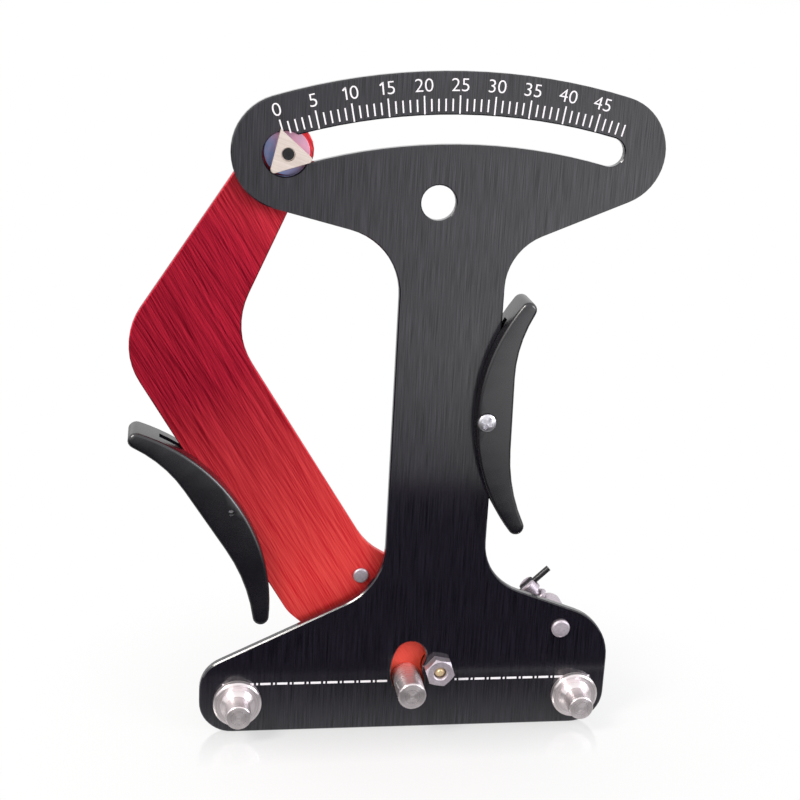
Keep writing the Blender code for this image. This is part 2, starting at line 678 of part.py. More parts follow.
def make_pivot(carrier, arm_carrier):
    pivot = Vector((0.0, 0.0))
    hex_back = -CLEARANCE
    hex_front = hex_back - HEX_HEIGHT
    coil_end = coil_back() + WIRE_RADIUS
    barrel_end = coil_end
    head = sheet(
        "pivot_bolt",
        [hexagon(pivot, HEX_ACROSS_FLATS, HEX_TURN_DEG), ring(pivot, BARREL_BORE_RADIUS, SMALL_SEGMENTS)],
        hex_front,
        HEX_HEIGHT,
        HEX_CHAMFER,
        carrier,
        "turned_steel",
    )
    barrel_front = hex_back - HEX_HEIGHT / 2
    barrel = [
        (BARREL_BORE_RADIUS, barrel_front),
        (BARREL_RADIUS, barrel_front),
        (BARREL_RADIUS, barrel_end),
        (BARREL_BORE_RADIUS, barrel_end),
    ]
    tube = turned("pivot_barrel", barrel, pivot, carrier, None, segments=SMALL_SEGMENTS, closed=True)
    join = head.modifiers.new("barrel", "BOOLEAN")
    join.operation = "UNION"
    join.solver = "EXACT"
    join.object = tube
    washer_back = barrel_end + CLEARANCE + REAR_WASHER_THICKNESS
    head_face = washer_back + CLEARANCE + SCREW_HEAD_HEIGHT
    screw_length = washer_back + CLEARANCE - hex_front - PIVOT_SCREW_RECESS
    pan_screw("pivot_screw", pivot, head_face, screw_length, PIVOT_SCREW_RADIUS, 1, carrier, "yellow_zinc")
    washer(
        "spring_retaining_washer",
        pivot,
        PIVOT_SCREW_RADIUS + CLEARANCE,
        REAR_WASHER_RADIUS,
        barrel_end + CLEARANCE,
        REAR_WASHER_THICKNESS,
        carrier,
        "turned_steel",
    )
    around = BARREL_RADIUS + CLEARANCE
    sleeve_front = ARM_WASHER_BACK + CLEARANCE
    sleeve_length = barrel_end - sleeve_front
    sleeve_outer = around + SLEEVE_WALL
    washer("spring_sleeve", pivot, around, sleeve_outer, sleeve_front, sleeve_length, carrier, "bronze")
    front = PLATE_THICKNESS + CLEARANCE
    washer(
        "thrust_washer_front", pivot, around, FRONT_WASHER_RADIUS, front, WASHER_THICKNESS, carrier, "bronze"
    )
    back = ARM_BACK + CLEARANCE
    washer(
        "thrust_washer_rear", pivot, around, ARM_WASHER_RADIUS, back, WASHER_THICKNESS, arm_carrier, "bronze"
    )
    washer(
        "arm_bush", pivot, around, around + BUSH_WALL, ARM_FRONT, ARM_THICKNESS, arm_carrier, "bronze"
    )


def leg_stand():
    """Distance from the axis of the plate's spring post to the centre line of the spring's leg."""
    return -COIL_RADIUS - Vector((PLATE_PIN_X, PLATE_PIN_Z)).dot(direction(PLATE_LEG_DEG + 90.0))


def make_plate_spring_post(carrier):
    """Rivet-headed post whose back end carries the calibration screw, square to the spring's leg."""
    place = Vector((PLATE_PIN_X, PLATE_PIN_Z))
    cross = coil_back()
    end = PLATE_PIN_LENGTH
    head_back = -CLEARANCE
    head_front = head_back - SPRING_HEAD_HEIGHT
    profile = [
        (0.0, head_front),
        (PLATE_PIN_HEAD_RADIUS - SPRING_HEAD_HEIGHT / 2, head_front),
        (PLATE_PIN_HEAD_RADIUS, head_front + SPRING_HEAD_HEIGHT / 2),
        (PLATE_PIN_HEAD_RADIUS, head_back),
        (PLATE_PIN_SPIGOT_RADIUS, head_back),
        (PLATE_PIN_SPIGOT_RADIUS, PLATE_THICKNESS + CLEARANCE),
        (PLATE_PIN_RADIUS, PLATE_THICKNESS + CLEARANCE),
        (PLATE_PIN_RADIUS, end - PLATE_PIN_DOME),
        (PLATE_PIN_DOME_RADIUS, end - PLATE_PIN_DOME / 3),
        (PLATE_PIN_RADIUS / 2, end),
        (0.0, end),
    ]
    post = turned("plate_spring_post", profile, place, carrier, "turned_steel")
    swing = Matrix.Rotation(math.radians(-90.0 - PLATE_LEG_DEG), 4, "Y")
    lie_down = Matrix.Rotation(math.radians(-90.0), 4, "Z")
    lay = Matrix.Translation((place.x, cross, place.y)) @ swing @ lie_down
    reach = PLATE_PIN_RADIUS + CUT_OVERRUN
    hole = SETSCREW_RADIUS + CLEARANCE
    bore = [(0.0, -reach), (hole, -reach), (hole, reach), (0.0, reach)]
    cut(post, turned("spring_post_bore", bore, place, carrier, None, segments=SMALL_SEGMENTS, frame=lay))
    slot_half = WIRE_RADIUS + CLEARANCE
    slot_floor = leg_stand() - slot_half
    head_face = leg_stand() + WIRE_RADIUS + SETSCREW_HEAD_LIP
    head_seat = slot_floor - SETSCREW_HEAD_FLOOR
    head_rim = SETSCREW_HEAD_RADIUS - SETSCREW_HEAD_CHAMFER
    screw = [
        (0.0, -SETSCREW_TAIL),
        (SETSCREW_RADIUS / 2, -SETSCREW_TAIL),
        (SETSCREW_RADIUS, -SETSCREW_TAIL + SETSCREW_RADIUS / 2),
        (SETSCREW_RADIUS, head_seat),
        (SETSCREW_HEAD_RADIUS, head_seat),
        (SETSCREW_HEAD_RADIUS, head_face - SETSCREW_HEAD_CHAMFER),
        (head_rim, head_face),
        (0.0, head_face),
    ]
    setscrew = turned("calibration_screw", screw, place, carrier, "turned_steel", frame=lay)
    slot_depth = head_face - slot_floor
    slot_frame = lay @ Matrix.Translation((0.0, slot_floor + (slot_depth + CUT_OVERRUN) / 2, 0.0))
    slot_length = 2 * (SETSCREW_HEAD_RADIUS + CUT_OVERRUN)
    slot_size = (2 * slot_half, slot_depth + CUT_OVERRUN, slot_length)
    cut(setscrew, block("calibration_screw_slot", slot_size, slot_frame, carrier))
    make_lock_nut(lay, hole, carrier)


def make_lock_nut(lay, hole, carrier):
    """Hexagonal nut on the calibration screw, up against its post."""
    centre = Vector((0.0, 0.0))
    nut_seat = PLATE_PIN_RADIUS + CLEARANCE
    outer = hexagon(centre, LOCK_NUT_ACROSS_FLATS, 0.0)
    inner = ring(centre, hole, SMALL_SEGMENTS)
    nut = sheet(
        "calibration_lock_nut",
        [outer, inner],
        nut_seat,
        LOCK_NUT_HEIGHT,
        LOCK_NUT_CHAMFER,
        carrier,
        "turned_steel",
    )
    nut.data.transform(lay)


def arm_outline():
    """Round pointer end, elbow, lower limb, and a nose round the moving post and the pivot."""
    corners = arm_corners()
    end = on_scale(SLOT_RADIUS, POINTER_REST_DEG) + Vector((ARM_END_SHIFT_X, ARM_END_SHIFT_Z))
    post = MOVING_POST_ARM * direction(MOVING_POST_REST_DEG)
    pivot = Vector((0.0, 0.0))
    outer_touch = tangent_degrees(end, ARM_END_RADIUS, corners["elbow_outer"], -1)
    inner_touch = tangent_degrees(end, ARM_END_RADIUS, corners["elbow_inner"], 1)
    post_touch = tangent_degrees(post, ARM_POST_LOBE_RADIUS, corners["heel"], 1)
    pivot_touch = tangent_degrees(pivot, ARM_PIVOT_LOBE_RADIUS, corners["shoulder"], -1)
    between = pivot - post
    lean = math.degrees(math.asin((ARM_PIVOT_LOBE_RADIUS - ARM_POST_LOBE_RADIUS) / between.length))
    nose = angle_of(between) - 90.0 - lean
    outline = arc(end, ARM_END_RADIUS, inner_touch, swept(inner_touch, outer_touch, 1), SMALL_ARC_STEP_DEG)
    start = end + ARM_END_RADIUS * direction(outer_touch)
    post_start = post + ARM_POST_LOBE_RADIUS * direction(post_touch)
    outline += fillet(start, corners["elbow_outer"], corners["heel"], ARM_ELBOW_OUTER_RADIUS)
    outline += fillet(corners["elbow_outer"], corners["heel"], post_start, ARM_HEEL_RADIUS)
    outline += arc(post, ARM_POST_LOBE_RADIUS, post_touch, swept(post_touch, nose, 1), SMALL_ARC_STEP_DEG)
    outline += arc(pivot, ARM_PIVOT_LOBE_RADIUS, nose, swept(nose, pivot_touch, 1), SMALL_ARC_STEP_DEG)
    pivot_end = ARM_PIVOT_LOBE_RADIUS * direction(pivot_touch)
    finish = end + ARM_END_RADIUS * direction(inner_touch)
    outline += fillet(pivot_end, corners["shoulder"], corners["throat"], ARM_SHOULDER_RADIUS)
    outline += fillet(corners["shoulder"], corners["throat"], corners["elbow_inner"], ARM_THROAT_RADIUS)
    outline += fillet(corners["throat"], corners["elbow_inner"], finish, ARM_ELBOW_INNER_RADIUS)
    return outline


def make_arm(carrier):
    bush = BARREL_RADIUS + CLEARANCE + BUSH_WALL + CLEARANCE
    post = MOVING_POST_ARM * direction(MOVING_POST_REST_DEG)
    holes = [
        ring(Vector((0.0, 0.0)), bush),
        ring(post, MOVING_POST_SPIGOT_RADIUS + CLEARANCE, SMALL_SEGMENTS),
        ring(Vector((ARM_PIN_X, ARM_PIN_Z)), ARM_PIN_SPIGOT_RADIUS + CLEARANCE, SMALL_SEGMENTS),
        ring(on_scale(SLOT_RADIUS, POINTER_REST_DEG), POINTER_SCREW_RADIUS + CLEARANCE, SMALL_SEGMENTS),
        ring(grip_screw_place(grip_left_frame()), GRIP_SCREW_RADIUS + CLEARANCE, SMALL_SEGMENTS),
    ]
    outlines = [arm_outline(), *holes]
    sheet("lever_arm", outlines, ARM_FRONT, ARM_THICKNESS, ARM_CHAMFER, carrier, "red_anodised")


def make_moving_post(carrier):
    place = MOVING_POST_ARM * direction(MOVING_POST_REST_DEG)
    base = ARM_FRONT - CLEARANCE
    spigot_end = ARM_BACK - CLEARANCE
    screw_length = ARM_THICKNESS + POST_HEIGHT / 2
    bore = POST_SCREW_RADIUS + CLEARANCE
    bore_end = ARM_BACK + CLEARANCE - screw_length - CLEARANCE
    profile = [
        (0.0, -POST_HEIGHT),
        (MOVING_POST_RADIUS - POST_CHAMFER, -POST_HEIGHT),
        (MOVING_POST_RADIUS, -POST_HEIGHT + POST_CHAMFER),
        (MOVING_POST_RADIUS, base),
        (MOVING_POST_SPIGOT_RADIUS, base),
        (MOVING_POST_SPIGOT_RADIUS, spigot_end),
        (bore, spigot_end),
        (bore, bore_end),
        (0.0, bore_end),
    ]
    turned("moving_post", profile, place, carrier, "turned_steel")
    head_face = ARM_BACK + CLEARANCE + SCREW_HEAD_HEIGHT
    pan_screw(
        "moving_post_screw", place, head_face, screw_length, POST_SCREW_RADIUS, 1, carrier, "black_oxide"
    )


def make_arm_spring_post(carrier):
    head_back = ARM_FRONT - CLEARANCE
    head_front = head_back - ARM_PIN_HEAD_HEIGHT
    shoulder = ARM_BACK + CLEARANCE
    end = ARM_LEG_Y + 3 * WIRE_RADIUS
    profile = [
        (0.0, head_front),
        (ARM_PIN_HEAD_RADIUS - ARM_PIN_HEAD_HEIGHT / 2, head_front),
        (ARM_PIN_HEAD_RADIUS, head_front + ARM_PIN_HEAD_HEIGHT / 2),
        (ARM_PIN_HEAD_RADIUS, head_back),
        (ARM_PIN_SPIGOT_RADIUS, head_back),
        (ARM_PIN_SPIGOT_RADIUS, shoulder),
        (ARM_PIN_RADIUS, shoulder),
        (ARM_PIN_RADIUS, end - ARM_PIN_HEAD_HEIGHT),
        (ARM_PIN_RADIUS - ARM_PIN_HEAD_HEIGHT, end),
        (0.0, end),
    ]
    turned("arm_spring_post", profile, Vector((ARM_PIN_X, ARM_PIN_Z)), carrier, "turned_steel")


def make_pointer(carrier):
    """Triangle in front of the plate, on a flanged guide that runs in the slot behind it."""
    place = on_scale(SLOT_RADIUS, POINTER_REST_DEG)
    outward = direction(90.0 - POINTER_REST_DEG)
    across = Vector((outward.y, -outward.x))
    corners = [
        place + outward * POINTER_TIP_REACH,
        place - outward * POINTER_BASE_REACH - across * POINTER_HALF_BASE,
        place - outward * POINTER_BASE_REACH + across * POINTER_HALF_BASE,
    ]
    outline = rounded(corners, [POINTER_TIP_RADIUS, POINTER_CORNER_RADIUS, POINTER_CORNER_RADIUS])
    back = -CLEARANCE
    front = back - POINTER_THICKNESS
    hole = ring(place, POINTER_SCREW_RADIUS + CLEARANCE, SMALL_SEGMENTS)
    pointer = sheet(
        "pointer", [outline, hole], front, POINTER_THICKNESS, POINTER_CHAMFER, carrier, "stainless"
    )
    sink = POINTER_SCREW_HEAD_RADIUS + CLEARANCE
    sink_back = front + POINTER_SINK_DEPTH
    cutter = [
        (0.0, front - CUT_OVERRUN),
        (sink, front - CUT_OVERRUN),
        (sink, sink_back),
        (0.0, sink_back),
    ]
    cut(pointer, turned("pointer_sink", cutter, place, carrier, None))
    head_seat = sink_back - CLEARANCE
    head_front = head_seat - POINTER_SCREW_HEAD_HEIGHT
    screw_end = ARM_BACK
    socket = POINTER_SCREW_HEAD_HEIGHT / 2
    screw = [
        (0.0, head_front + socket),
        (POINTER_SCREW_RADIUS / 2, head_front + socket),
        (POINTER_SCREW_RADIUS / 2, head_front),
        (POINTER_SCREW_HEAD_RADIUS, head_front),
        (POINTER_SCREW_HEAD_RADIUS, head_seat),
        (POINTER_SCREW_RADIUS, head_seat),
        (POINTER_SCREW_RADIUS, screw_end),
        (0.0, screw_end),
    ]
    turned("pointer_screw", screw, place, carrier, "black_oxide", segments=SMALL_SEGMENTS)
    disc_front = PLATE_THICKNESS + CLEARANCE
    disc_back = disc_front + WASHER_THICKNESS
    bore = POINTER_SCREW_RADIUS + CLEARANCE
    guide = [
        (bore, 0.0),
        (POINTER_HUB_RADIUS, 0.0),
        (POINTER_HUB_RADIUS, disc_front),
        (POINTER_DISC_RADIUS, disc_front),
        (POINTER_DISC_RADIUS, disc_back),
        (bore, disc_back),
    ]
    turned("pointer_guide", guide, place, carrier, "turned_steel", closed=True)


def grip_arc_centre():
    """Depth of the inner curve's centre, set so that the curve touches both round ends."""
    rise = GRIP_BULGE - GRIP_END_RADIUS
    return (rise**2 - (GRIP_LENGTH / 2) ** 2) / (2 * rise)


def grip_outline():
    """Closed outline along and into the grip: tip, hollow finger side, far end, then the inner curve."""
    depth = grip_arc_centre()
    tip = Vector((0.0, 0.0))
    far = Vector((GRIP_LENGTH, 0.0))
    reach = []
    for flare in (GRIP_LOWER_FLARE, GRIP_UPPER_FLARE):
        reach.append(math.sqrt((flare + GRIP_END_RADIUS) ** 2 - (flare - GRIP_HOLLOW) ** 2))
    lower = Vector((reach[0], GRIP_HOLLOW - GRIP_LOWER_FLARE))
    upper = Vector((GRIP_LENGTH - reach[1], GRIP_HOLLOW - GRIP_UPPER_FLARE))
    middle = Vector((GRIP_LENGTH / 2, depth))
    tip_inner = angle_of(tip - middle)
    far_inner = angle_of(far - middle)
    tip_outer = angle_of(lower - tip)
    far_outer = angle_of(upper - far)
    outline = arc(middle, GRIP_BULGE - depth, far_inner, tip_inner, GRIP_ARC_STEP_DEG)
    outline += arc(tip, GRIP_END_RADIUS, tip_inner, swept(tip_inner, tip_outer, 1), 20.0)[1:]
    outline += arc(lower, GRIP_LOWER_FLARE, tip_outer + 180.0, 90.0, 6.0)[1:]
    outline += arc(upper, GRIP_UPPER_FLARE, 90.0, swept(90.0, far_outer + 180.0, -1), 6.0)
    outline += arc(far, GRIP_END_RADIUS, far_outer, swept(far_outer, far_inner, 1), 20.0)[1:-1]
    return outline


def grip_slot_outline():
    """Slot for the metal edge: straight bottom in the middle, and a groove of even depth near the ends."""
    depth = grip_arc_centre()
    radius = GRIP_BULGE - depth
    middle = Vector((GRIP_LENGTH / 2, depth))
    half = math.degrees(math.asin((GRIP_LENGTH / 2 - GRIP_GROOVE_END) / radius))
    bottom = []
    for point in arc(middle, radius - GRIP_GROOVE_DEPTH, 90.0 + half, 90.0 - half, GRIP_ARC_STEP_DEG):
        bottom.append(Vector((point.x, min(point.y, GRIP_SLOT_BOTTOM))))
    above = GRIP_BULGE + CUT_OVERRUN
    return [Vector((bottom[0].x, above)), *bottom, Vector((bottom[-1].x, above))]


def make_grip(name, frame, edge_front, facing, carrier):
    """Moulded crescent over a metal edge whose front face lies at that depth. Its screw faces one way."""
    tip, along, inward = frame
    front = edge_front + PLATE_THICKNESS / 2 - GRIP_WIDTH / 2
    back = front + GRIP_WIDTH

    def placed(points):
        return [tip + along * point.x + inward * point.y for point in points]

    grip = sheet(
        name, [placed(grip_outline())], front, GRIP_WIDTH, GRIP_EDGE_RADIUS, carrier, "black_plastic", 1
    )
    slot_width = PLATE_THICKNESS + 2 * CLEARANCE
    slot = sheet(
        f"{name}_slot",
        [placed(grip_slot_outline())],
        edge_front - CLEARANCE,
        slot_width,
        0.0,
        carrier,
        None,
    )
    cut(grip, slot)
    place = grip_screw_place(frame)
    face = front if facing < 0 else back
    far = back if facing < 0 else front
    head_face = face - facing * GRIP_COUNTERBORE + facing * (CLEARANCE + SCREW_HEAD_HEIGHT)
    seat = face - facing * GRIP_COUNTERBORE
    length = GRIP_WIDTH - GRIP_COUNTERBORE - 2 * GRIP_COUNTERBORE
    tip_depth = seat + facing * CLEARANCE - facing * length
    head_hole = SCREW_HEAD_RADIUS + CLEARANCE
    shank_hole = GRIP_SCREW_RADIUS + CLEARANCE
    hole = [
        (0.0, face + facing * CUT_OVERRUN),
        (head_hole, face + facing * CUT_OVERRUN),
        (head_hole, seat),
        (shank_hole, seat),
        (shank_hole, tip_depth - facing * CLEARANCE),
        (GRIP_TIP_HOLE_RADIUS, tip_depth - facing * CLEARANCE),
        (GRIP_TIP_HOLE_RADIUS, far - facing * CUT_OVERRUN),
        (0.0, far - facing * CUT_OVERRUN),
    ]
    cut(grip, turned(f"{name}_hole", hole, place, carrier, None, segments=SMALL_SEGMENTS))
    pan_screw(f"{name}_screw", place, head_face, length, GRIP_SCREW_RADIUS, facing, carrier, "turned_steel")


def main():
    for obj in list(bpy.data.objects):
        bpy.data.objects.remove(obj)
    carriers = []
    for name in ("plate_carrier", "arm_pivot_axis"):
        carrier = bpy.data.objects.new(name, None)
        carrier.location = (-HANG_X, 0.0, -HANG_Z)
        bpy.context.scene.collection.objects.link(carrier)
        carriers.append(carrier)
    plate, arm = carriers
    make_plate(plate)
    make_fixed_posts(plate)
    make_pivot(plate, arm)
    make_plate_spring_post(plate)
    make_spring(plate)
    make_grip("grip_right", grip_right_frame(), 0.0, -1, plate)
    make_arm(arm)
    make_moving_post(arm)
    make_arm_spring_post(arm)
    make_pointer(arm)
    make_grip("grip_left", grip_left_frame(), ARM_FRONT, 1, arm)


main()
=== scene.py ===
# %% [markdown]
# # A spoke tension meter, dressed for a studio picture
#
# A spoke tension meter bends a spoke between three posts. A spring pushes a red lever arm, and the
# arm's pointer shows on a curved scale how far the spoke gave way.
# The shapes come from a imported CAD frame, in metres, with the origin in the centre of the hanging hole.
# This lesson gives that frame its finishes, adds the printed scale, and models the turned, wound and
# hexagonal pieces more finely than the CAD holds them.

# %% Load the frame and keep its size
import json
import math

import bmesh
import bpy
from mathutils import Matrix, Vector

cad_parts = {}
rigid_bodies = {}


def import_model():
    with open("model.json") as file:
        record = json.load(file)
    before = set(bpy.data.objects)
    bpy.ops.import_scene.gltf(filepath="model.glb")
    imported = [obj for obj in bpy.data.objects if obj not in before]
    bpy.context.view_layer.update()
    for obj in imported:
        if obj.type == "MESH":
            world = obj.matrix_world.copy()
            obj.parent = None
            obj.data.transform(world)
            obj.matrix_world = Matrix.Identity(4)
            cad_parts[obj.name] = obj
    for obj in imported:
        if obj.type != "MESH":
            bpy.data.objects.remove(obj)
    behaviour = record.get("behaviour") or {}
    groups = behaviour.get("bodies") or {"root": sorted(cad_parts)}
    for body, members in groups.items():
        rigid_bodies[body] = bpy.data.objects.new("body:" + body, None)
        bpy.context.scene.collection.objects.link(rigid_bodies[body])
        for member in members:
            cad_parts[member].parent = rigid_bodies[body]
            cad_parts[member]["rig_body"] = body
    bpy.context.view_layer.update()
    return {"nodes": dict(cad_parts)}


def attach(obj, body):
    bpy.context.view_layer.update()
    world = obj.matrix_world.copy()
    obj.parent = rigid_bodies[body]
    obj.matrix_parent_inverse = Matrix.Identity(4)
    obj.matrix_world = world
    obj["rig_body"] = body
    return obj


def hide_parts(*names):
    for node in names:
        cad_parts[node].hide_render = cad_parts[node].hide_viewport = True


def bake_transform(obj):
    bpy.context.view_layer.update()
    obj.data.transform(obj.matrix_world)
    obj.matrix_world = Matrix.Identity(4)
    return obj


for leftover in list(bpy.data.objects):
    bpy.data.objects.remove(leftover)
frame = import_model()

# %% [markdown]
# ## Lengths
#
# All lengths below are in millimetres and are measured from the pivot, in the plane of the plate:
# x to the right, z up, and y backwards from the plate's front face. One function turns such a point
# into the frame's metres, so that no other line needs to know where the origin is.

# %% From millimetres at the pivot to the frame
MM = 0.001
PIVOT = Vector((8.5, 0.0, -141.7))


def spot(x, y, z):
    """A point given in millimetres from the pivot, in the frame's metres."""
    return (Vector((x, y, z)) + PIVOT) * MM


def on_scale(radius, degrees, y=0.0):
    """A point at a radius from the pivot, at an angle clockwise from straight up."""
    angle = math.radians(degrees)
    return spot(radius * math.sin(angle), y, radius * math.cos(angle))


FIXED_POSTS = {"left": (-60.4, -9.3), "right": (42.8, -9.3)}
MOVING_POST = (-9.378, -3.751)
ARM_PIN = (-24.6, 29.5)
PLATE_PIN = (36.8, 12.9)
POINTER = (-50.3, 153.89)
print("pointer rests at", spot(POINTER[0], 0.0, POINTER[1]))

# %% [markdown]
# ## Helpers for materials
#
# Colours are written as sRGB hex values, because that is how a colour picker shows them, and one
# function turns them into the linear values that the renderer works with.
# A second function adds a node, sets it up and wires its inputs, so that a material reads as a short
# list of nodes from coordinates to shader.

# %% Colour and node helpers
def linear(hex_colour):
    """An sRGB hex colour as linear RGBA."""
    channels = []
    for start in (1, 3, 5):
        value = int(hex_colour[start:start + 2], 16) / 255.0
        channels.append(value / 12.92 if value <= 0.04045 else ((value + 0.055) / 1.055) ** 2.4)
    return (*channels, 1.0)


def add(tree, kind, settings=None, links=None):
    """Adds a node. Settings name its properties or its inputs; links feed its inputs from outputs."""
    made = tree.nodes.new(kind)
    for key, value in (settings or {}).items():
        if isinstance(key, int) or key in made.inputs:
            made.inputs[key].default_value = value
        else:
            setattr(made, key, value)
    for key, source in (links or {}).items():
        tree.links.new(source, made.inputs[key])
    return made


def new_finish(name):
    """An empty material, its node tree and the socket that its shader goes to."""
    material = bpy.data.materials.new(name)
    material.use_nodes = True
    material.node_tree.nodes.clear()
    output = material.node_tree.nodes.new("ShaderNodeOutputMaterial")
    return material, material.node_tree, output.inputs["Surface"]


print("light grey #808080 is", round(linear("#808080")[0], 3), "in linear light")

# %% [markdown]
# Patterns are laid out in Object coordinates, which are metres here, so a pattern has its real size
# and stays on its piece when the arm swings.
# Noise rarely leaves the middle of its range. Every pattern stretches that middle over the colours
# or the roughness that it drives, and two small functions write the settings for that. A third makes
# colour, gloss and bumps follow one pattern, as most of the finishes below ask.

# %% Coordinates, noise and colour settings
NOISE_LOW = 0.3
NOISE_HIGH = 0.7
OBJECT_TO_WORLD = {"vector_type": "VECTOR", "convert_from": "OBJECT", "convert_to": "WORLD"}


def object_point(tree, place=(0.0, 0.0, 0.0), turn=(0.0, 0.0, 0.0), scale=(1.0, 1.0, 1.0)):
    """Object coordinates moved, turned and scaled by one Mapping node."""
    where = add(tree, "ShaderNodeTexCoord").outputs["Object"]
    settings = {"Location": place, "Rotation": turn, "Scale": scale}
    return add(tree, "ShaderNodeMapping", settings, {"Vector": where}).outputs["Vector"]


def from_axis(tree, centre):
    """Object coordinates without their depth, counted from an axis along Y."""
    axis = spot(centre[0], 0.0, centre[1])
    return object_point(tree, place=(-axis.x, 0.0, -axis.z), scale=(1.0, 0.0, 1.0))


def noise_to(low, high):
    """Map Range settings that stretch the middle of a noise over a range of values."""
    return {"From Min": NOISE_LOW, "From Max": NOISE_HIGH, "To Min": low, "To Max": high}


def between(low, high):
    """Mix settings for a colour between two hex colours."""
    return {"data_type": "RGBA", 6: linear(low), 7: linear(high)}


def following(tree, pattern, height, colours, rough, bump):
    """Shader links: colour and gloss follow a pattern, and bumps of (strength, mm) follow a height."""
    share = add(tree, "ShaderNodeMapRange", noise_to(0.0, 1.0), {"Value": pattern})
    colour = add(tree, "ShaderNodeMix", between(*colours), {0: share.outputs["Result"]})
    gloss = add(tree, "ShaderNodeMapRange", noise_to(*rough), {"Value": pattern})
    settings = {"Strength": bump[0], "Distance": bump[1] * MM}
    bumps = add(tree, "ShaderNodeBump", settings, {"Height": height})
    return {
        "Base Color": colour.outputs[2],
        "Roughness": gloss.outputs["Result"],
        "Normal": bumps.outputs["Normal"],
    }


print("noise is stretched from", NOISE_LOW, "to", NOISE_HIGH)

# %% [markdown]
# ## Brush lines
#
# Brushed metal carries fine parallel scratches. Noise that is squeezed across them and drawn out
# along them gives their height, and from it come the colour, the gloss and the bumps of a finish.

# %% Brush lines
def brushed_lines(tree, width, length, turn=0.0, detail=4.0):
    """The height of lines along Z, or along a direction turned from Z about Y, in millimetres."""
    point = object_point(tree, turn=(0.0, turn, 0.0))
    scale = (1.0 / (width * MM), 1.0 / (width * MM), 1.0 / (length * MM))
    drawn = add(tree, "ShaderNodeMapping", {"Scale": scale}, {"Vector": point}).outputs["Vector"]
    settings = {"Scale": 1.0, "Detail": detail, "Roughness": 0.6}
    return add(tree, "ShaderNodeTexNoise", settings, {"Vector": drawn}).outputs["Fac"]


print("brush lines ready")

# %% [markdown]
# ## Black anodised aluminium
#
# The plate is sheet aluminium, brushed along its neck and then anodised black. The dye sits in a
# hard, clear oxide layer, so it looks like dark glass over fine vertical lines: little colour of its
# own, and a soft mirror of the studio that is smeared sideways across the lines. The oxide is a coat
# whose weight follows the lines, so they show where the plate mirrors white and sink where it
# mirrors black.
# The real lines are some 0.05 mm wide. They are drawn 0.3 mm wide here, because finer ones would not
# show in a picture of the whole tool. A second set, faint and across the first, is the rolling grain.

# %% Black anodised aluminium
def black_anodised(name):
    material, tree, surface = new_finish(name)
    lines = brushed_lines(tree, 0.3, 14.0)
    grain = brushed_lines(tree, 0.7, 9.0, turn=math.radians(90.0), detail=2.0)
    share = add(tree, "ShaderNodeMapRange", noise_to(-0.3, 1.3), {"Value": lines})
    colour = add(tree, "ShaderNodeMix", between("#0E0C13", "#1F1C26"), {0: share.outputs["Result"]})
    coat = add(tree, "ShaderNodeMapRange", noise_to(0.1, 1.0), {"Value": lines})
    rough = add(tree, "ShaderNodeMapRange", noise_to(0.13, 0.22), {"Value": lines})
    rolled = add(tree, "ShaderNodeBump", {"Strength": 0.15, "Distance": 0.010 * MM}, {"Height": grain})
    links = {"Height": lines, "Normal": rolled.outputs["Normal"]}
    bumps = add(tree, "ShaderNodeBump", {"Strength": 0.3, "Distance": 0.02 * MM}, links)
    across = add(tree, "ShaderNodeCombineXYZ", {"X": 1.0})
    settings = {"Metallic": 0.0, "Anisotropic": 0.7, "Coat Roughness": 0.12, "Coat IOR": 1.6}
    links = {
        "Base Color": colour.outputs[2],
        "Coat Weight": coat.outputs["Result"],
        "Roughness": rough.outputs["Result"],
        "Normal": bumps.outputs["Normal"],
        "Tangent": across.outputs["Vector"],
    }
    shader = add(tree, "ShaderNodeBsdfPrincipled", settings, links)
    tree.links.new(shader.outputs["BSDF"], surface)
    return material


BLACK_ANODISED = black_anodised("black_anodised_aluminium")
print("made", BLACK_ANODISED.name)

# %% [markdown]
# ## Red anodised aluminium
#
# The lever arm is the same sheet, brushed down its lower limb and dyed red. Here the metal shows
# through the dye, so it is a metal whose colour is red, under a thin clear coat.
# Three patterns are laid over each other. Long coarse streaks carry most of the contrast, a fine set
# crosses them at a few degrees, and a slow change of painted light and shade runs from a shaded crimson
# at the elbow to a brighter, painted orange-red at both ends, with a painted orange highlight about the
# pivot. Along that painted light the metallic value falls from 1 to 0.55.

# %% Painted light and shade along the arm
# Painted light and shade: dark and light streak colours, shaded at the elbow and lit on the limb, and the
# millimetres from the elbow over which the painted light rises.
SHADED_ELBOW_RED = ("#740018", "#D02840")
LIT_LIMB_RED = ("#E81A2C", "#FF5850")
# A painted orange highlight about the pivot, and its run in millimetres from the elbow.
HUB_PAINTED_HIGHLIGHT = "#FF6248"
PAINTED_SHADE_MIDDLE = (-82.0, 110.0)
PAINTED_LIGHT_RUN = (26.0, 92.0)
HUB_HIGHLIGHT_RUN = (110.0, 142.0)


def around(tree, middle, near, far):
    """A value that rises from 0 to 1 between two distances, in millimetres, from a line along Y."""
    away = add(tree, "ShaderNodeVectorMath", {"operation": "LENGTH"}, {0: from_axis(tree, middle)})
    settings = {"From Min": near * MM, "From Max": far * MM}
    return add(tree, "ShaderNodeMapRange", settings, {"Value": away.outputs["Value"]}).outputs["Result"]


print("the dye changes between", PAINTED_LIGHT_RUN[0], "and", PAINTED_LIGHT_RUN[1], "mm from the elbow")

# %% Red anodised aluminium
COARSE_TURN = math.radians(33.0)
FINE_TURN = math.radians(25.0)
COARSE_SHARE = 0.6


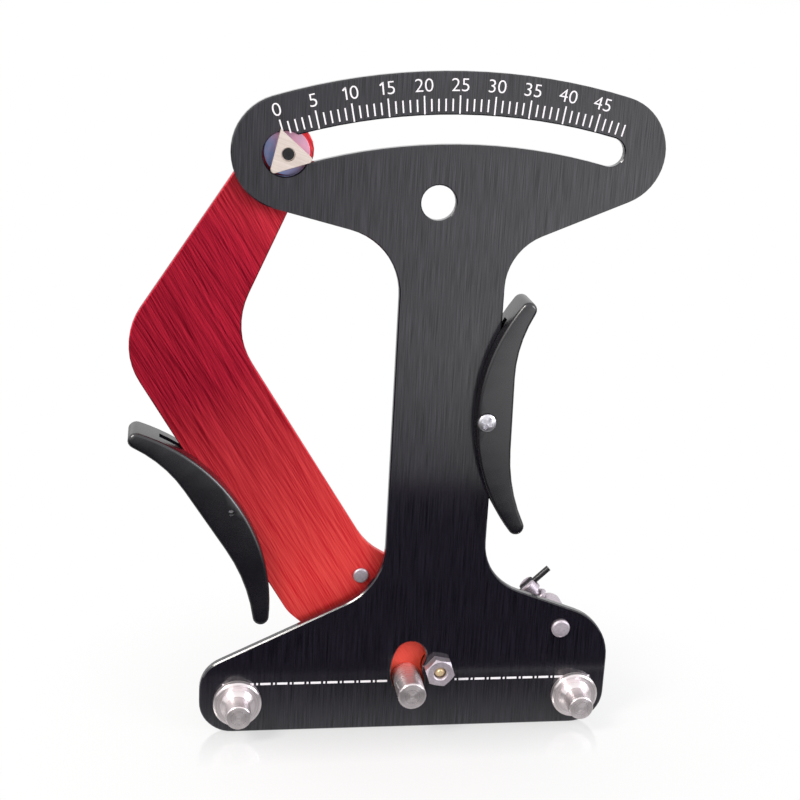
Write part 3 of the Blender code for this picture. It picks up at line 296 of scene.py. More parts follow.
def red_anodised(name):
    material, tree, surface = new_finish(name)
    coarse = brushed_lines(tree, 0.34, 26.0, turn=COARSE_TURN, detail=5.0)
    fine = brushed_lines(tree, 0.16, 16.0, turn=FINE_TURN, detail=3.0)
    settings = {"operation": "MULTIPLY", 1: 1.0 - COARSE_SHARE}
    finer = add(tree, "ShaderNodeMath", settings, {0: fine}).outputs[0]
    settings = {"operation": "MULTIPLY_ADD", 1: COARSE_SHARE}
    streaks = add(tree, "ShaderNodeMath", settings, {0: coarse, 2: finer}).outputs[0]
    # Painted light: the colour brightens and the metal share falls away from the elbow.
    painted_light = around(tree, PAINTED_SHADE_MIDDLE, *PAINTED_LIGHT_RUN)
    dark = add(tree, "ShaderNodeMix", between(SHADED_ELBOW_RED[0], LIT_LIMB_RED[0]), {0: painted_light})
    light = add(tree, "ShaderNodeMix", between(SHADED_ELBOW_RED[1], LIT_LIMB_RED[1]), {0: painted_light})
    contrast = add(tree, "ShaderNodeMapRange", noise_to(-0.4, 1.4), {"Value": streaks})
    links = {0: contrast.outputs["Result"], 6: dark.outputs[2], 7: light.outputs[2]}
    red = add(tree, "ShaderNodeMix", {"data_type": "RGBA"}, links)
    # Painted highlight: the red turns orange about the pivot.
    settings = {"data_type": "RGBA", 7: linear(HUB_PAINTED_HIGHLIGHT)}
    colour = add(tree, "ShaderNodeMix", settings, {0: around(tree, PAINTED_SHADE_MIDDLE, *HUB_HIGHLIGHT_RUN), 6: red.outputs[2]})
    metal = add(tree, "ShaderNodeMapRange", {"To Min": 1.0, "To Max": 0.55}, {"Value": painted_light})
    rough = add(tree, "ShaderNodeMapRange", noise_to(0.36, 0.48), {"Value": streaks})
    bumps = add(tree, "ShaderNodeBump", {"Strength": 0.35, "Distance": 0.02 * MM}, {"Height": streaks})
    settings = {"X": math.cos(COARSE_TURN), "Y": 0.0, "Z": math.sin(COARSE_TURN)}
    across = add(tree, "ShaderNodeCombineXYZ", settings).outputs["Vector"]
    tangent = add(tree, "ShaderNodeVectorTransform", OBJECT_TO_WORLD, {"Vector": across})
    settings = {"Anisotropic": 0.8, "Coat Weight": 0.12, "Coat Roughness": 0.25}
    links = {
        "Base Color": colour.outputs[2],
        "Metallic": metal.outputs["Result"],
        "Roughness": rough.outputs["Result"],
        "Normal": bumps.outputs["Normal"],
        "Tangent": tangent.outputs["Vector"],
    }
    shader = add(tree, "ShaderNodeBsdfPrincipled", settings, links)
    tree.links.new(shader.outputs["BSDF"], surface)
    return material


RED_ANODISED = red_anodised("red_anodised_aluminium")
print("made", RED_ANODISED.name)

# %% [markdown]
# ## Turned steel
#
# The posts, the pivot's barrel and its washer are bright steel from a lathe. The tool leaves rings on
# a flat end and grooves round a pin, so each piece needs a pattern centred on its own axis: a Mapping
# node drops the depth and takes the axis to nought, and the length of what is left is the radius.
# Radius plus depth, fed to one-dimensional noise, gives rings on the ends and grooves on the sides.
# The real feed is about 0.1 mm a turn. It is drawn 0.5 mm here, so that it shows.

# %% Turned steel
FEED = 0.5


def turned_steel(name, centre):
    material, tree, surface = new_finish(name)
    flat = from_axis(tree, centre)
    radius = add(tree, "ShaderNodeVectorMath", {"operation": "LENGTH"}, {0: flat}).outputs["Value"]
    depth = add(tree, "ShaderNodeSeparateXYZ", links={"Vector": object_point(tree)}).outputs["Y"]
    path = add(tree, "ShaderNodeMath", {"operation": "ADD"}, {0: radius, 1: depth}).outputs[0]
    settings = {"noise_dimensions": "1D", "Scale": 1.0 / (FEED * MM), "Detail": 3.0}
    rings = add(tree, "ShaderNodeTexNoise", settings, {"W": path}).outputs["Fac"]
    links = following(tree, rings, rings, ("#ECE2E4", "#FFF6F8"), (0.26, 0.34), (0.15, 0.02))
    settings = {"operation": "CROSS_PRODUCT", 1: (0.0, 1.0, 0.0)}
    round_axis = add(tree, "ShaderNodeVectorMath", settings, {0: flat}).outputs["Vector"]
    tangent = add(tree, "ShaderNodeVectorTransform", OBJECT_TO_WORLD, {"Vector": round_axis})
    links["Tangent"] = tangent.outputs["Vector"]
    settings = {"Metallic": 0.86, "Anisotropic": 0.82, "Anisotropic Rotation": 0.25}
    shader = add(tree, "ShaderNodeBsdfPrincipled", settings, links)
    tree.links.new(shader.outputs["BSDF"], surface)
    return material


print("lathe grooves are drawn", FEED, "mm apart")

# %% [markdown]
# ## Moulded plastic, spring steel, black oxide, zinc, blasted steel, bronze and ink
#
# The plainer finishes share one recipe with other numbers. A metal or plastic of one colour gets
# its life from two noises: a fine one for the grain of the surface, and a broad one for handling,
# which moves the colour and the roughness by a few hundredths.

# %% Plain finishes with grain and handling marks
# Handling marks per metre, so that one is about 11 mm wide.
HANDLING_SCALE = 90.0


def grained(name, colours, metallic, rough, grain, depth, **fixed):
    """A finish with grain of a size and depth in millimetres, and slow changes of colour and gloss."""
    material, tree, surface = new_finish(name)
    where = object_point(tree)
    settings = {"Scale": 1.0 / (grain * MM), "Detail": 3.0}
    fine = add(tree, "ShaderNodeTexNoise", settings, {"Vector": where}).outputs["Fac"]
    settings = {"Scale": HANDLING_SCALE, "Detail": 2.0}
    broad = add(tree, "ShaderNodeTexNoise", settings, {"Vector": where}).outputs["Fac"]
    both = add(tree, "ShaderNodeMath", {"operation": "ADD"}, {0: fine, 1: broad}).outputs[0]
    mean = add(tree, "ShaderNodeMath", {"operation": "MULTIPLY", 1: 0.5}, {0: both}).outputs[0]
    links = following(tree, mean, fine, colours, rough, (0.6, depth))
    shader = add(tree, "ShaderNodeBsdfPrincipled", {"Metallic": metallic, **fixed}, links)
    tree.links.new(shader.outputs["BSDF"], surface)
    return material


# Injection moulded ABS from a polished mould: black, with a soft shine.
BLACK_ABS = grained("moulded_black_abs", ("#0E0C12", "#17151B"), 0.0, (0.22, 0.30), 0.35, 0.003, IOR=1.75)
# Oil-blacked spring wire: a thin film of oil over black oxide, dark and rather glossy.
SPRING_BLACK = grained("oiled_spring_steel", ("#0B0B0E", "#141418"), 0.0, (0.22, 0.34), 0.4, 0.01, IOR=1.6)
# Blackened steel screws: dark grey and dull.
BLACK_OXIDE = grained("black_oxide_steel", ("#1A1A1D", "#28282B"), 0.4, (0.34, 0.46), 0.3, 0.01)
# Bright zinc plate: a cool, slightly cloudy silver.
ZINC = grained("bright_zinc", ("#D2D0D6", "#ECEAF0"), 0.9, (0.28, 0.40), 0.5, 0.006)
# Bead-blasted steel: an even, frosted grey.
RIVET = grained("bead_blasted_steel", ("#A89DA6", "#DCD2DA"), 0.75, (0.40, 0.54), 0.45, 0.016)
# Yellow chromate on zinc: a pale, warm gold.
YELLOW_ZINC = grained("yellow_zinc", ("#E8CC98", "#FCE6BC"), 0.6, (0.34, 0.46), 0.4, 0.008)
# Sintered bronze bushes: brown metal with open pores.
BRONZE = grained("sintered_bronze", ("#A9794A", "#C8986A"), 1.0, (0.34, 0.48), 0.25, 0.015)
# Screen-printed ink: white and flat.
INK = grained("printed_ink", ("#E2DEE2", "#F4F1F4"), 0.0, (0.50, 0.62), 0.3, 0.004)
print("made", len(bpy.data.materials), "materials")

# %% [markdown]
# ## Brushed stainless
#
# The pointer is laser-cut stainless steel with a warm, pale tone, brushed across its width. Its
# lines soften every reflection, so it reads as an even cream plate.

# %% Brushed stainless
def brushed_stainless(name, turn):
    material, tree, surface = new_finish(name)
    lines = brushed_lines(tree, 0.35, 12.0, turn=turn, detail=3.0)
    links = following(tree, lines, lines, ("#E6D6CC", "#F8EAE2"), (0.34, 0.44), (0.5, 0.02))
    shader = add(tree, "ShaderNodeBsdfPrincipled", {"Metallic": 0.9}, links)
    tree.links.new(shader.outputs["BSDF"], surface)
    return material


STAINLESS = brushed_stainless("brushed_stainless_steel", math.radians(72.0))
print("made", STAINLESS.name)

# %% [markdown]
# ## Blue chromate on zinc
#
# The pointer's guide is zinc plated and blue chromated. The chromate film is about as thick as a
# wavelength of light, so its tint runs from blue through lilac to pink across one small disc.
# The tint follows the distance along a line across the disc, stirred by a cloud of noise.

# %% Blue chromate
CHROMATE = ("#90A0CE", "#E8AEC6")
TINT_RUN = (0.55, 0.45)
TINT_STIR = 0.18
# Noise waves per metre: clouds of about 2.4 mm, grain of about 0.3 mm.
CLOUD_SCALE = 420.0
CHROMATE_GRAIN_SCALE = 3000.0


def along(tree, start, end):
    """A value that rises from 0 to 1 between two places, given in millimetres from the pivot."""
    first = spot(start[0], 0.0, start[1])
    way = spot(end[0], 0.0, end[1]) - first
    settings = {"operation": "SUBTRACT", 1: first}
    moved = add(tree, "ShaderNodeVectorMath", settings, {0: object_point(tree)})
    settings = {"operation": "DOT_PRODUCT", 1: way / way.length_squared}
    share = add(tree, "ShaderNodeVectorMath", settings, {0: moved.outputs["Vector"]})
    settings = {"interpolation_type": "SMOOTHSTEP"}
    return add(tree, "ShaderNodeMapRange", settings, {"Value": share.outputs["Value"]}).outputs["Result"]


def chromated(name, centre, radius):
    material, tree, surface = new_finish(name)
    reach = [radius * share for share in TINT_RUN]
    low = (centre[0] - reach[0], centre[1] - reach[1])
    high = (centre[0] + reach[0], centre[1] + reach[1])
    settings = {"Scale": CLOUD_SCALE, "Detail": 2.0}
    cloud = add(tree, "ShaderNodeTexNoise", settings, {"Vector": object_point(tree)}).outputs["Fac"]
    stirred = add(tree, "ShaderNodeMapRange", noise_to(-TINT_STIR, TINT_STIR), {"Value": cloud})
    links = {0: along(tree, low, high), 1: stirred.outputs["Result"]}
    tint = add(tree, "ShaderNodeMath", {"operation": "ADD", "use_clamp": True}, links)
    colour = add(tree, "ShaderNodeMix", between(*CHROMATE), {0: tint.outputs[0]})
    rough = add(tree, "ShaderNodeMapRange", noise_to(0.40, 0.52), {"Value": cloud})
    settings = {"Scale": CHROMATE_GRAIN_SCALE, "Detail": 2.0}
    grain = add(tree, "ShaderNodeTexNoise", settings, {"Vector": object_point(tree)}).outputs["Fac"]
    bumps = add(tree, "ShaderNodeBump", {"Strength": 0.4, "Distance": 0.006 * MM}, {"Height": grain})
    links = {
        "Base Color": colour.outputs[2],
        "Roughness": rough.outputs["Result"],
        "Normal": bumps.outputs["Normal"],
    }
    shader = add(tree, "ShaderNodeBsdfPrincipled", {"Metallic": 0.6}, links)
    tree.links.new(shader.outputs["BSDF"], surface)
    return material


print("chromate runs from", CHROMATE[0], "to", CHROMATE[1])

# %% [markdown]
# ## From a mesh to a finished piece
#
# Each new piece goes through the same steps. Its bmesh becomes an object at the origin with a material
# and with smooth shading that stops at corners. Then it is told which body it rides on and which CAD
# node it stands for.

# %% Pieces
CORNER_DEG = 30.0


def in_scene(name, mesh_data):
    """An object at the origin that holds a bmesh, which is used up."""
    mesh = bpy.data.meshes.new(name)
    mesh_data.to_mesh(mesh)
    mesh_data.free()
    made = bpy.data.objects.new(name, mesh)
    bpy.context.scene.collection.objects.link(made)
    return made


def piece_from(mesh_data, name, material, body, replaces=(), corner=CORNER_DEG):
    """Turns a bmesh into a finished piece that rides on a body, sharp at corners over an angle."""
    piece = in_scene(name, mesh_data)
    mesh = piece.data
    if "custom_normal" in mesh.attributes:
        mesh.attributes.remove(mesh.attributes["custom_normal"])
    mesh.materials.append(material)
    mesh.shade_smooth()
    mesh.set_sharp_from_angle(angle=math.radians(corner))
    if body:
        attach(piece, body)
    if replaces:
        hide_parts(*replaces)
    return piece


print("smooth shading stops at", CORNER_DEG, "degrees")

# %% [markdown]
# ## Sheet pieces and mouldings from the frame
#
# The plate, the arm, the pointer and the grips already have the right shape in the CAD, so they are
# not modelled again. Their meshes are loose triangles, which can only be shaded flat. A copy with its
# doubles merged and its flat areas dissolved can be shaded smooth, with sharp edges only where two
# faces meet at a real corner, and that copy stands in for the node.
# Weighted normals then keep the large faces flat and leave the turn of the light to the small
# rounded edges beside them.

# %% Merged copies
def keep_flat(piece):
    """Large faces stay flat, and the narrow eased edges beside them carry the turn of the light."""
    flat = piece.modifiers.new("flat faces", "WEIGHTED_NORMAL")
    flat.keep_sharp = True


def merged(node):
    """A CAD node's mesh with its doubles merged and its flat areas joined."""
    mesh_data = bmesh.new()
    mesh_data.from_mesh(frame["nodes"][node].data)
    bmesh.ops.remove_doubles(mesh_data, verts=mesh_data.verts, dist=0.002 * MM)
    bmesh.ops.dissolve_limit(
        mesh_data,
        angle_limit=math.radians(0.5),
        use_dissolve_boundaries=False,
        verts=mesh_data.verts,
        edges=mesh_data.edges,
        delimit={"NORMAL"},
    )
    bmesh.ops.triangulate(mesh_data, faces=[f for f in mesh_data.faces if len(f.verts) > 4])
    return mesh_data


def merged_copy(node, material, corner=CORNER_DEG):
    """A merged, smooth-shaded copy of a CAD node, on the same body."""
    body = frame["nodes"][node]["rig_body"]
    piece = piece_from(merged(node), f"{node}_dressed", material, body, (node,), corner)
    keep_flat(piece)
    return piece


print("plate triangles before merging:", len(frame["nodes"]["body_plate"].data.polygons))

# %% Dress the sheet pieces, mouldings, screws and bushes
merged_copy("body_plate", BLACK_ANODISED)
merged_copy("lever_arm", RED_ANODISED)
merged_copy("pointer", STAINLESS)
for side in ("left", "right"):
    merged_copy(f"grip_{side}", BLACK_ABS, 50.0)
    merged_copy(f"fixed_post_screw_{side}", BLACK_OXIDE)
merged_copy("moving_post_screw", BLACK_OXIDE)
merged_copy("grip_left_screw", ZINC)
merged_copy("pointer_screw", BLACK_OXIDE)
merged_copy("calibration_screw", RIVET)
merged_copy("calibration_lock_nut", RIVET)
merged_copy("pivot_screw", YELLOW_ZINC)
for node in ("arm_bush", "spring_sleeve", "thrust_washer_front", "thrust_washer_rear"):
    merged_copy(node, BRONZE)
merged_copy("spring_retaining_washer", turned_steel("turned_steel_washer", (0.0, 0.0)))

# %% [markdown]
# ## Turned pieces
#
# A lathe piece is a profile swept round its axis, which is just what spin does. The profile is drawn
# as a chain of edges in radius and depth, spun with use_merge so that the last step meets the first,
# and the corner rings are then bevelled a little, because no real edge is perfectly sharp and it is
# the broken edge that catches the light.

# %% The lathe
LATHE_STEPS = 96
BROKEN_EDGE = 0.12
BROKEN_EDGE_DEG = 25.0


def lathe(profile):
    """Spins a profile of (radius, depth) pairs in millimetres about the Y axis."""
    mesh_data = bmesh.new()
    chain = [mesh_data.verts.new((radius * MM, depth * MM, 0.0)) for radius, depth in profile]
    edges = [mesh_data.edges.new(pair) for pair in zip(chain, chain[1:])]
    bmesh.ops.spin(
        mesh_data,
        geom=chain + edges,
        cent=(0.0, 0.0, 0.0),
        axis=(0.0, 1.0, 0.0),
        angle=math.tau,
        steps=LATHE_STEPS,
        use_merge=True,
    )
    bmesh.ops.remove_doubles(mesh_data, verts=mesh_data.verts, dist=0.001 * MM)
    bmesh.ops.recalc_face_normals(mesh_data, faces=mesh_data.faces)
    return mesh_data


def turned(name, profile, centre, material, body, replaces=()):
    """A turned piece with broken edges, about an axis along Y through a centre."""
    mesh_data = lathe(profile)
    corners = [
        edge
        for edge in mesh_data.edges
        if len(edge.link_faces) == 2 and edge.calc_face_angle() > math.radians(BROKEN_EDGE_DEG)
    ]
    bmesh.ops.bevel(
        mesh_data,
        geom=corners,
        offset=BROKEN_EDGE * MM,
        offset_type="OFFSET",
        segments=3,
        profile=0.5,
        affect="EDGES",
        clamp_overlap=True,
        material=-1,
    )
    seat = spot(centre[0], 0.0, centre[1])
    bmesh.ops.translate(mesh_data, vec=seat, verts=mesh_data.verts)
    piece = piece_from(mesh_data, name, material, body, replaces, 40.0)
    keep_flat(piece)
    return piece


print("the lathe breaks its edges by", BROKEN_EDGE, "mm")

# %% [markdown]
# ## The two fixed posts
#
# Each fixed post has a flange that seats it on the plate, a short collar, a cone, and the pin that
# the spoke rests on. A hole in its back takes the screw that holds it.

# %% Fixed posts
FIXED_POST = [
    (0.0, -9.9),
    (3.45, -9.9),
    (3.75, -9.6),
    (3.75, -3.8),
    (5.0, -2.8),
    (5.0, -2.0),
    (6.6, -2.0),
    (7.15, -1.65),
    (7.15, -0.02),
    (3.0, -0.02),
    (3.0, 2.2),
    (1.3, 2.2),
    (1.3, -5.1),
    (0.0, -5.1),
]
for side, centre in FIXED_POSTS.items():
    steel = turned_steel(f"turned_steel_{side}_post", centre)
    turned(f"fixed_post_{side}_turned", FIXED_POST, centre, steel, "plate", (f"fixed_post_{side}",))
print("turned two fixed posts with flanges", 2 * max(radius for radius, depth in FIXED_POST), "mm wide")

# %% [markdown]
# ## The moving post and the arm's spring pin
#
# The moving post stands on the red arm and comes through the plate's slot. The rivet-headed pin
# beside the neck sits in the arm and holds the spring's front leg behind it.

# %% Moving post and arm pin
MOVING_POST_PROFILE = [
    (0.0, -9.9),
    (3.9, -9.9),
    (4.2, -9.6),
    (4.2, 3.88),
    (2.5, 3.88),
    (2.5, 6.1),
    (1.5, 6.1),
    (1.5, -0.5),
    (0.0, -0.5),
]
steel = turned_steel("turned_steel_moving_post", MOVING_POST)
turned("moving_post_turned", MOVING_POST_PROFILE, MOVING_POST, steel, "arm", ("moving_post",))
ARM_PIN_PROFILE = [
    (0.0, 3.1),
    (1.9, 3.1),
    (2.3, 3.4),
    (2.3, 3.88),
    (1.8, 3.88),
    (1.8, 6.42),
    (2.2, 6.42),
    (2.2, 11.1),
    (1.7, 11.6),
    (0.0, 11.6),
]
turned("arm_spring_post_turned", ARM_PIN_PROFILE, ARM_PIN, RIVET, "arm", ("arm_spring_post",))
print("turned the moving post and the arm's pin")

# %% [markdown]
# ## The hexagonal pivot bolt
#
# A hexagonal bolt head is turned before its flats are milled, so its face is a circle and its six
# corners are cut off by a cone. That is how it is made here as well: a six-sided prism is
# intersected with a turned blank, and the bore is drilled afterwards.

# %% Boolean machining
def machined(mesh_data, steps):
    """Applies exact Booleans, given as (operation, cutter) pairs, and returns the result as a bmesh."""
    stock = in_scene("stock", mesh_data)
    for operation, cutter in steps:
        boolean = stock.modifiers.new(operation.lower(), "BOOLEAN")
        boolean.operation = operation
        boolean.solver = "EXACT"
        boolean.object = cutter
    bpy.context.view_layer.update()
    result = bmesh.new()
    result.from_mesh(stock.evaluated_get(bpy.context.evaluated_depsgraph_get()).to_mesh())
    for used in (stock, *(cutter for _, cutter in steps)):
        bpy.data.objects.remove(used)
    return result


print("machining uses exact Booleans")

# %% Hexagonal prism
HEX_FLATS = 8.0
HEX_CORNER = HEX_FLATS / math.sqrt(3.0)
HEX_FRONT = -3.1
HEX_BACK = -0.02
HEX_TURN_DEG = -18.4
prism = bmesh.new()
bmesh.ops.create_circle(prism, cap_ends=True, segments=6, radius=HEX_CORNER * MM)
bmesh.ops.rotate(prism, matrix=Matrix.Rotation(math.radians(-HEX_TURN_DEG), 3, "Z"), verts=prism.verts)
bmesh.ops.rotate(prism, matrix=Matrix.Rotation(math.radians(90.0), 3, "X"), verts=prism.verts)
bmesh.ops.translate(prism, vec=(0.0, HEX_FRONT * MM, 0.0), verts=prism.verts)
grown = bmesh.ops.extrude_face_region(prism, geom=prism.faces[:])["geom"]
moved = [v for v in grown if isinstance(v, bmesh.types.BMVert)]
bmesh.ops.translate(prism, vec=(0.0, (HEX_BACK - HEX_FRONT) * MM, 0.0), verts=moved)
bmesh.ops.recalc_face_normals(prism, faces=prism.faces)
print("hexagonal prism", HEX_FLATS, "mm across flats")

# %% Turned face, bore and barrel
FACE_RADIUS = HEX_FLATS / 2 * 0.94
CONE = (HEX_CORNER - FACE_RADIUS) * math.tan(math.radians(30.0))
BORE = 1.85
blank = in_scene("blank", lathe([
    (0.0, HEX_FRONT),
    (FACE_RADIUS, HEX_FRONT),
    (HEX_CORNER, HEX_FRONT + CONE),
    (HEX_CORNER + 0.2, HEX_FRONT + CONE),
    (HEX_CORNER + 0.2, HEX_BACK + 0.1),
    (0.0, HEX_BACK + 0.1),
]))
drill = in_scene("drill", lathe([
    (0.0, HEX_FRONT - 0.5),
    (2.5, HEX_FRONT - 0.2),
    (2.0, HEX_FRONT + 0.25),
    (BORE, HEX_FRONT + 0.3),
    (BORE, 1.0),
    (0.0, 1.0),
]))
hex_head = machined(prism, [("INTERSECT", blank), ("DIFFERENCE", drill)])
bmesh.ops.remove_doubles(hex_head, verts=hex_head.verts, dist=0.01 * MM)
bmesh.ops.translate(hex_head, vec=spot(0.0, 0.0, 0.0), verts=hex_head.verts)
piece_from(hex_head, "pivot_hex_head", RIVET, "plate", ("pivot_bolt",))
BARREL = [(BORE, -1.5), (3.0, -1.5), (3.0, 15.92), (BORE, 15.92), (BORE, -1.5)]
turned("pivot_barrel", BARREL, (0.0, 0.0), turned_steel("turned_steel_pivot", (0.0, 0.0)), "plate")
print("cut the head's corners back by", round(CONE, 2), "mm")

# %% [markdown]
# ## A cross recess in the grip's screw
#
# The screw in the right grip is bright zinc with a cross recess. Two bars, square to each other, are
# cut out of a merged copy of the CAD screw.

# %% Cross recess
GRIP_SCREW = (8.29, 80.04)
GRIP_SCREW_FRONT = -5.91
RECESS_LENGTH = 3.6
RECESS_WIDTH = 1.0
RECESS_DEPTH = 1.3
RECESS_TURNS_DEG = (25.0, 115.0)


def recess_bar(turn_deg):
    """A bar of the recess, centred on the screw's face, as a cutter."""
    mesh_data = bmesh.new()
    made = bmesh.ops.create_cube(mesh_data, size=1.0)["verts"]
    size = Vector((RECESS_LENGTH, 2.0 * RECESS_DEPTH, RECESS_WIDTH)) * MM
    bmesh.ops.scale(mesh_data, vec=size, verts=made)
    bmesh.ops.rotate(mesh_data, matrix=Matrix.Rotation(math.radians(turn_deg), 3, "Y"), verts=made)
    seat = spot(GRIP_SCREW[0], GRIP_SCREW_FRONT, GRIP_SCREW[1])
    bmesh.ops.translate(mesh_data, vec=seat, verts=made)
    return in_scene("recess_bar", mesh_data)


cuts = [("DIFFERENCE", recess_bar(turn)) for turn in RECESS_TURNS_DEG]
crossed = machined(merged("grip_right_screw"), cuts)
body = frame["nodes"]["grip_right_screw"]["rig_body"]
piece_from(crossed, "grip_right_screw_crossed", ZINC, body, ("grip_right_screw",))
print("cut a cross", RECESS_LENGTH, "mm wide")

# %% [markdown]
# ## Pointer guide and the plate's spring post
#
# Behind the pointer a flanged hub runs in the scale's slot, and its flange shows as a disc through
# the round end of the slot. The plate's spring post has a rivet-like head on the base's right, and
# its domed far end holds the spring's back leg.

# %% Pointer guide and plate spring post
DISC_RADIUS = 6.2
GUIDE = [
    (1.5, 0.0),
    (2.6, 0.0),
    (2.6, 2.8),
    (DISC_RADIUS, 2.8),
    (DISC_RADIUS, 3.6),
    (1.5, 3.6),
    (1.5, 0.0),
]
zinc_blue = chromated("blue_chromated_zinc", POINTER, DISC_RADIUS)
turned("pointer_guide_turned", GUIDE, POINTER, zinc_blue, "arm", ("pointer_guide",))
PLATE_PIN_PROFILE = [
    (0.0, -1.1),
    (2.35, -1.1),
    (2.85, -0.7),
    (2.85, -0.02),
    (2.2, -0.02),
    (2.2, 2.52),
    (4.2, 2.52),
    (4.2, 16.3),
    (3.9, 16.8),
    (3.4, 17.1),
    (2.0, 17.4),
    (0.0, 17.5),
]
turned("plate_spring_post_turned", PLATE_PIN_PROFILE, PLATE_PIN, RIVET, "plate", ("plate_spring_post",))
print("turned a guide disc", 2 * DISC_RADIUS, "mm wide and the plate's post")

# %% [markdown]
# ## The torsion spring
#
# The spring is one piece of round wire: a leg behind the arm, a little over two turns round the
# pivot, and a second leg to the plate's post. A curve with a round section follows that line far
# more smoothly than the CAD can afford, and its ends are cut square.

# %% The wire's centre line
WIRE = 0.95
COIL = 6.15
COIL_POINTS = 140
ARM_LEG = 43.4
PLATE_LEG = 43.8
LEG_SHARES = (0.1, 0.25, 0.5, 0.75, 1.0)
LEG_FRONT_Y = 8.75
LEG_BACK_Y = 14.966
COIL_START_DEG = 205.34
COIL_TURN_DEG = 828.86
ARM_LEG_DEG = 115.34
PLATE_LEG_DEG = 44.2


def heading(degrees):
    """A direction in the plate's plane, at an angle upwards from the right."""
    return Vector((math.cos(math.radians(degrees)), 0.0, math.sin(math.radians(degrees))))


def wire_line():
    """The wire's centre line in millimetres from the pivot, from the arm's leg to the plate's."""
    front = COIL * heading(COIL_START_DEG) + Vector((0.0, LEG_FRONT_Y, 0.0))
    back = COIL * heading(COIL_START_DEG + COIL_TURN_DEG) + Vector((0.0, LEG_BACK_Y, 0.0))
    points = [front + heading(ARM_LEG_DEG) * ARM_LEG * share for share in reversed(LEG_SHARES)]
    for i in range(COIL_POINTS + 1):
        share = i / COIL_POINTS
        depth = LEG_FRONT_Y + (LEG_BACK_Y - LEG_FRONT_Y) * share
        points.append(COIL * heading(COIL_START_DEG + COIL_TURN_DEG * share) + Vector((0.0, depth, 0.0)))
    points += [back + heading(PLATE_LEG_DEG) * PLATE_LEG * share for share in LEG_SHARES]
    return points


line = wire_line()
print("the wire follows", len(line), "points")

# %% [markdown]
# The wire is given its thickness by the curve's round bevel and is then made a mesh.
# When the arm swings, the spring winds up. Its depth along Y tells how far along the coil a point is.

# %% Torsion spring
wire = bpy.data.curves.new("wire", "CURVE")
wire.dimensions = "3D"
wire.bevel_depth = WIRE * MM
wire.bevel_resolution = 7
wire.use_fill_caps = True
strand = wire.splines.new("POLY")
strand.points.add(len(line) - 1)
for point, place in zip(strand.points, line):
    point.co = (*spot(*place), 1.0)
drawn = bpy.data.objects.new("wire", wire)
bpy.context.scene.collection.objects.link(drawn)
bpy.context.view_layer.update()
wound = bmesh.new()
wound.from_mesh(drawn.evaluated_get(bpy.context.evaluated_depsgraph_get()).to_mesh())
bmesh.ops.remove_doubles(wound, verts=wound.verts, dist=0.001 * MM)
bmesh.ops.recalc_face_normals(wound, faces=wound.faces)
bpy.data.objects.remove(drawn)
stands_for = ("torsion_spring",)
spring = piece_from(wound, "torsion_spring_wound", SPRING_BLACK, None, stands_for, 40.0)
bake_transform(spring)
print("spring wire", 2 * WIRE, "mm, coil", 2 * COIL, "mm,", round(COIL_TURN_DEG / 360, 2), "turns")

# %% [markdown]
# ## The printed scale
#
# The scale is printed in white ink: fifty fine ticks 0.66 degrees apart, each fifth one longer, and a
# number at each of those. The ink is a film a few hundredths of a millimetre thick, so each mark is
# a thin slab that lies on the plate's face.

# %% Ticks
INK_FILM = 0.03
TICKS = 50
TICKS_PER_NUMBER = 5
FIRST_TICK_DEG = -17.98
TICK_STEP_DEG = 0.66
TICK_WIDTH = 0.4
LONG_TICK = (166.2, 171.1)
SHORT_TICK = (166.9, 170.2)


def slab(mesh_data, width, height, place, turn_deg=0.0):
    """A thin printed bar of a size in millimetres, centred on a place in the frame."""
    made = bmesh.ops.create_cube(mesh_data, size=1.0)["verts"]
    bmesh.ops.scale(mesh_data, vec=(width * MM, INK_FILM * MM, height * MM), verts=made)
    bmesh.ops.rotate(mesh_data, matrix=Matrix.Rotation(math.radians(turn_deg), 3, "Y"), verts=made)
    bmesh.ops.translate(mesh_data, vec=place, verts=made)


ticks = bmesh.new()
for count in range(TICKS):
    degrees = FIRST_TICK_DEG + TICK_STEP_DEG * count
    low, high = SHORT_TICK if count % TICKS_PER_NUMBER else LONG_TICK
    slab(ticks, TICK_WIDTH, high - low, on_scale((low + high) / 2, degrees, -INK_FILM / 2), degrees)
piece_from(ticks, "scale_ticks", INK, "plate")
print("printed", TICKS, "ticks over", round((TICKS - 1) * TICK_STEP_DEG, 1), "degrees")

# %% [markdown]
# The numbers stand upright to the arc, so each is typed as text, made a mesh, and turned about the
# pivot to its tick. The built-in typeface draws its one as a bare stroke, so a short slanted bar is
# added as its flag.

# %% Typing one number
NUMBER_HEIGHT = 3.7
# The height of a digit of the built-in typeface, as a share of its size.
DIGIT_SHARE = 0.73
THINNED = 0.05
TIGHT_SPACING = 0.8
FLAG_SIZE = (1.15, 0.42)
FLAG_TURN_DEG = 42.0
FLAG_PLACE = (-0.16, -0.5)


def add_flag(mesh):
    """Adds the slanted bar at the top left of a number that starts with a one."""
    left = min(v.co.x for v in mesh.vertices)
    top = max(v.co.y for v in mesh.vertices)
    flagged = bmesh.new()
    flagged.from_mesh(mesh)
    bar = bmesh.ops.create_cube(flagged, size=1.0)["verts"]
    bmesh.ops.scale(flagged, vec=(FLAG_SIZE[0] * MM, FLAG_SIZE[1] * MM, INK_FILM * MM), verts=bar)
    bmesh.ops.rotate(flagged, matrix=Matrix.Rotation(math.radians(FLAG_TURN_DEG), 3, "Z"), verts=bar)
    place = (left + FLAG_PLACE[0] * MM, top + FLAG_PLACE[1] * MM, 0.0)
    bmesh.ops.translate(flagged, vec=place, verts=bar)
    flagged.to_mesh(mesh)
    flagged.free()


